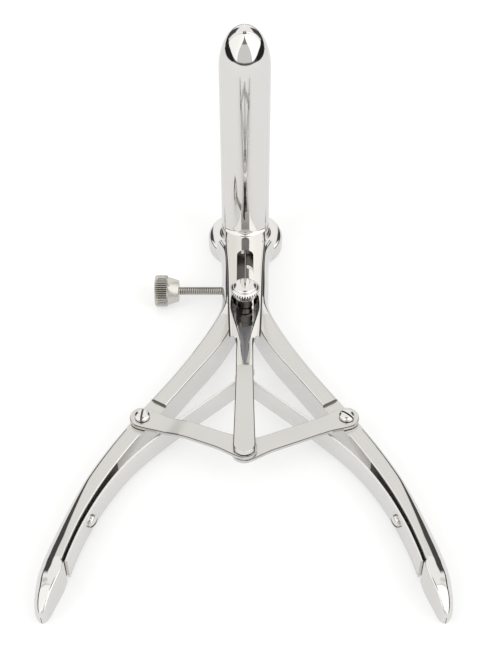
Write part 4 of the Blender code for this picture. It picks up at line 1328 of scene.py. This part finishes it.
def floor_material():
    """Pale floor: it keeps the shadows, and its own light takes it to white."""
    stage = sizes().stage
    look = bpy.data.materials.new("pale_floor")
    look.use_nodes = True
    tree = look.node_tree
    tree.nodes.clear()
    path = add(tree, "ShaderNodeLightPath").outputs
    mirrored = calc(tree, "MULTIPLY", path["Is Glossy Ray"], 0.7)
    seen = calc(tree, "MULTIPLY", path["Is Camera Ray"], stage.floor_glow)
    strength = calc(tree, "SUBTRACT", 1.0, calc(tree, "MULTIPLY", path["Is Glossy Ray"], 0.2))
    matt = add(tree, "ShaderNodeBsdfDiffuse", {"Color": (*stage.floor_colour, 1.0)}).outputs[0]
    glow = add(tree, "ShaderNodeEmission", {"Strength": strength}).outputs[0]
    share_of_glow = calc(tree, "MAXIMUM", seen, mirrored)
    mix = add(tree, "ShaderNodeMixShader", {"Fac": share_of_glow, 1: matt, 2: glow})
    add(tree, "ShaderNodeOutputMaterial", {0: mix.outputs[0]})
    return look


def studio_world():
    """White for the camera, plain light for matt surfaces, a studio with two softboxes for polished ones."""
    stage = sizes().stage
    world = bpy.data.worlds.new("studio")
    bpy.context.scene.world = world
    world.use_nodes = True
    tree = world.node_tree
    tree.nodes.clear()

    def rise(value, low, high, start=0.0, end=1.0):
        return ramp(tree, value, low, high, start, end)

    def times(first, *others):
        for other in others:
            first = calc(tree, "MULTIPLY", first, other)
        return first

    def less(first, second):
        return calc(tree, "SUBTRACT", first, second)

    direction = add(tree, "ShaderNodeTexCoord").outputs["Generated"]
    x, y, z = add(tree, "ShaderNodeSeparateXYZ", {0: direction}).outputs
    elevation = calc(tree, "DEGREES", calc(tree, "ARCSINE", z))
    # side is 0 towards the camera and 180 behind the instrument
    side = calc(tree, "ARCTAN2", x, times(y, -1.0))
    side = calc(tree, "ABSOLUTE", calc(tree, "DEGREES", side))
    edge = calc(tree, "ADD", rise(side, 30.0, 85.0, -2.0, 9.0), rise(side, 112.0, 135.0, 0.0, -9.0))
    above = rise(less(elevation, edge), -0.5, 1.5)
    half_gap = rise(elevation, 5.0, 82.0, 34.0, 0.0)
    boxes = times(
        rise(less(side, half_gap), -0.5, 0.5), rise(side, 114.0, 110.0), rise(elevation, 82.0, 78.0),
        rise(x, -0.02, 0.02, stage.left_box, stage.right_box),
    )
    gap = times(rise(side, 60.0, 40.0), rise(elevation, 40.0, 38.0, 0.13, 0.62))
    corner = times(rise(side, 116.0, 124.0), rise(side, 158.0, 148.0), rise(elevation, 40.0, 34.0, 0.0, 0.95))
    wall = times(rise(side, 110.0, 114.0), rise(elevation, 84.0, 76.0, 0.13, 1.0), less(1.0, corner))
    studio = times(calc(tree, "MAXIMUM", boxes, calc(tree, "MAXIMUM", gap, wall)), above)
    studio = calc(tree, "ADD", studio, rise(side, 30.0, 60.0, 0.10, 0.02))
    glossy = add(tree, "ShaderNodeLightPath").outputs["Is Glossy Ray"]
    pick = add(tree, "ShaderNodeMix", {"Factor": glossy, "A": 1.0, "B": studio}).outputs["Result"]
    back = add(tree, "ShaderNodeBackground", {"Strength": pick, "Color": (1.0, 0.99, 0.975, 1.0)})
    add(tree, "ShaderNodeOutputWorld", {0: back.outputs[0]})


class SPECULUM_OT_stage(bpy.types.Operator):
    """Camera, floor, lamps and world"""
    bl_idname = "speculum.stage"
    bl_label = "Stage"

    def execute(self, context):
        stage = sizes().stage
        half = stage.floor
        square = ((-half, -half), (half, -half), (half, half), (-half, half))
        floor = prism("floor", square, -2 * MM, -0.05 * MM)
        floor.data.materials.append(floor_material())
        camera = bpy.data.cameras.new("camera")
        camera.sensor_width = SENSOR
        camera.lens = stage.focal_pixels / IMAGE_HEIGHT * SENSOR
        camera.clip_start = 0.01
        camera.clip_end = 20.0
        seat = place_in_scene("camera", camera)
        seat.location = stage.camera
        seat.rotation_euler = (math.pi / 2 - stage.elevation, 0.0, 0.0)
        context.scene.camera = seat
        for name, x in (("left_softbox", -0.7), ("right_softbox", 0.7)):
            lamp = bpy.data.lights.new(name, "AREA")
            lamp.size = 0.6
            lamp.energy = 3.0
            holder = place_in_scene(name, lamp)
            holder.location = (x, -0.5, 0.7)
            holder.rotation_euler = (-holder.location).to_track_quat("-Z", "Y").to_euler()
            holder.visible_glossy = False
        studio_world()
        context.scene.view_settings.view_transform = "Standard"
        return {"FINISHED"}


class SPECULUM_PT_panel(bpy.types.Panel):
    """Sizes, colours and pieces of the speculum"""
    bl_idname = "SPECULUM_PT_panel"
    bl_label = "Three-Blade Speculum"
    bl_space_type = "VIEW_3D"
    bl_region_type = "UI"
    bl_category = "Speculum"

    def draw(self, context):
        settings = context.scene.speculum
        for name, kind in GROUPS.items():
            group = getattr(settings, name)
            box = self.layout.box()
            box.label(text=name.title())
            for key in kind.__annotations__:
                box.prop(group, key)
        for piece in PIECES:
            self.layout.operator(piece.bl_idname)


PIECES = (
    SPECULUM_OT_stage,
    SPECULUM_OT_levers,
    SPECULUM_OT_third_blade,
    SPECULUM_OT_nut,
    SPECULUM_OT_stud,
    SPECULUM_OT_links,
    SPECULUM_OT_screws,
    SPECULUM_OT_springs,
    SPECULUM_OT_thumbscrew,
)
CLASSES = (*GROUPS.values(), SpeculumSettings, *PIECES, SPECULUM_PT_panel)


def register():
    for item in CLASSES:
        bpy.utils.register_class(item)
    bpy.types.Scene.speculum = bpy.props.PointerProperty(type=SpeculumSettings)


def unregister():
    del bpy.types.Scene.speculum
    for item in reversed(CLASSES):
        bpy.utils.unregister_class(item)


def main():
    register()
    for piece in PIECES:
        prefix, name = piece.bl_idname.split(".")
        getattr(getattr(bpy.ops, prefix), name)()


if __name__ == "__main__":
    main()
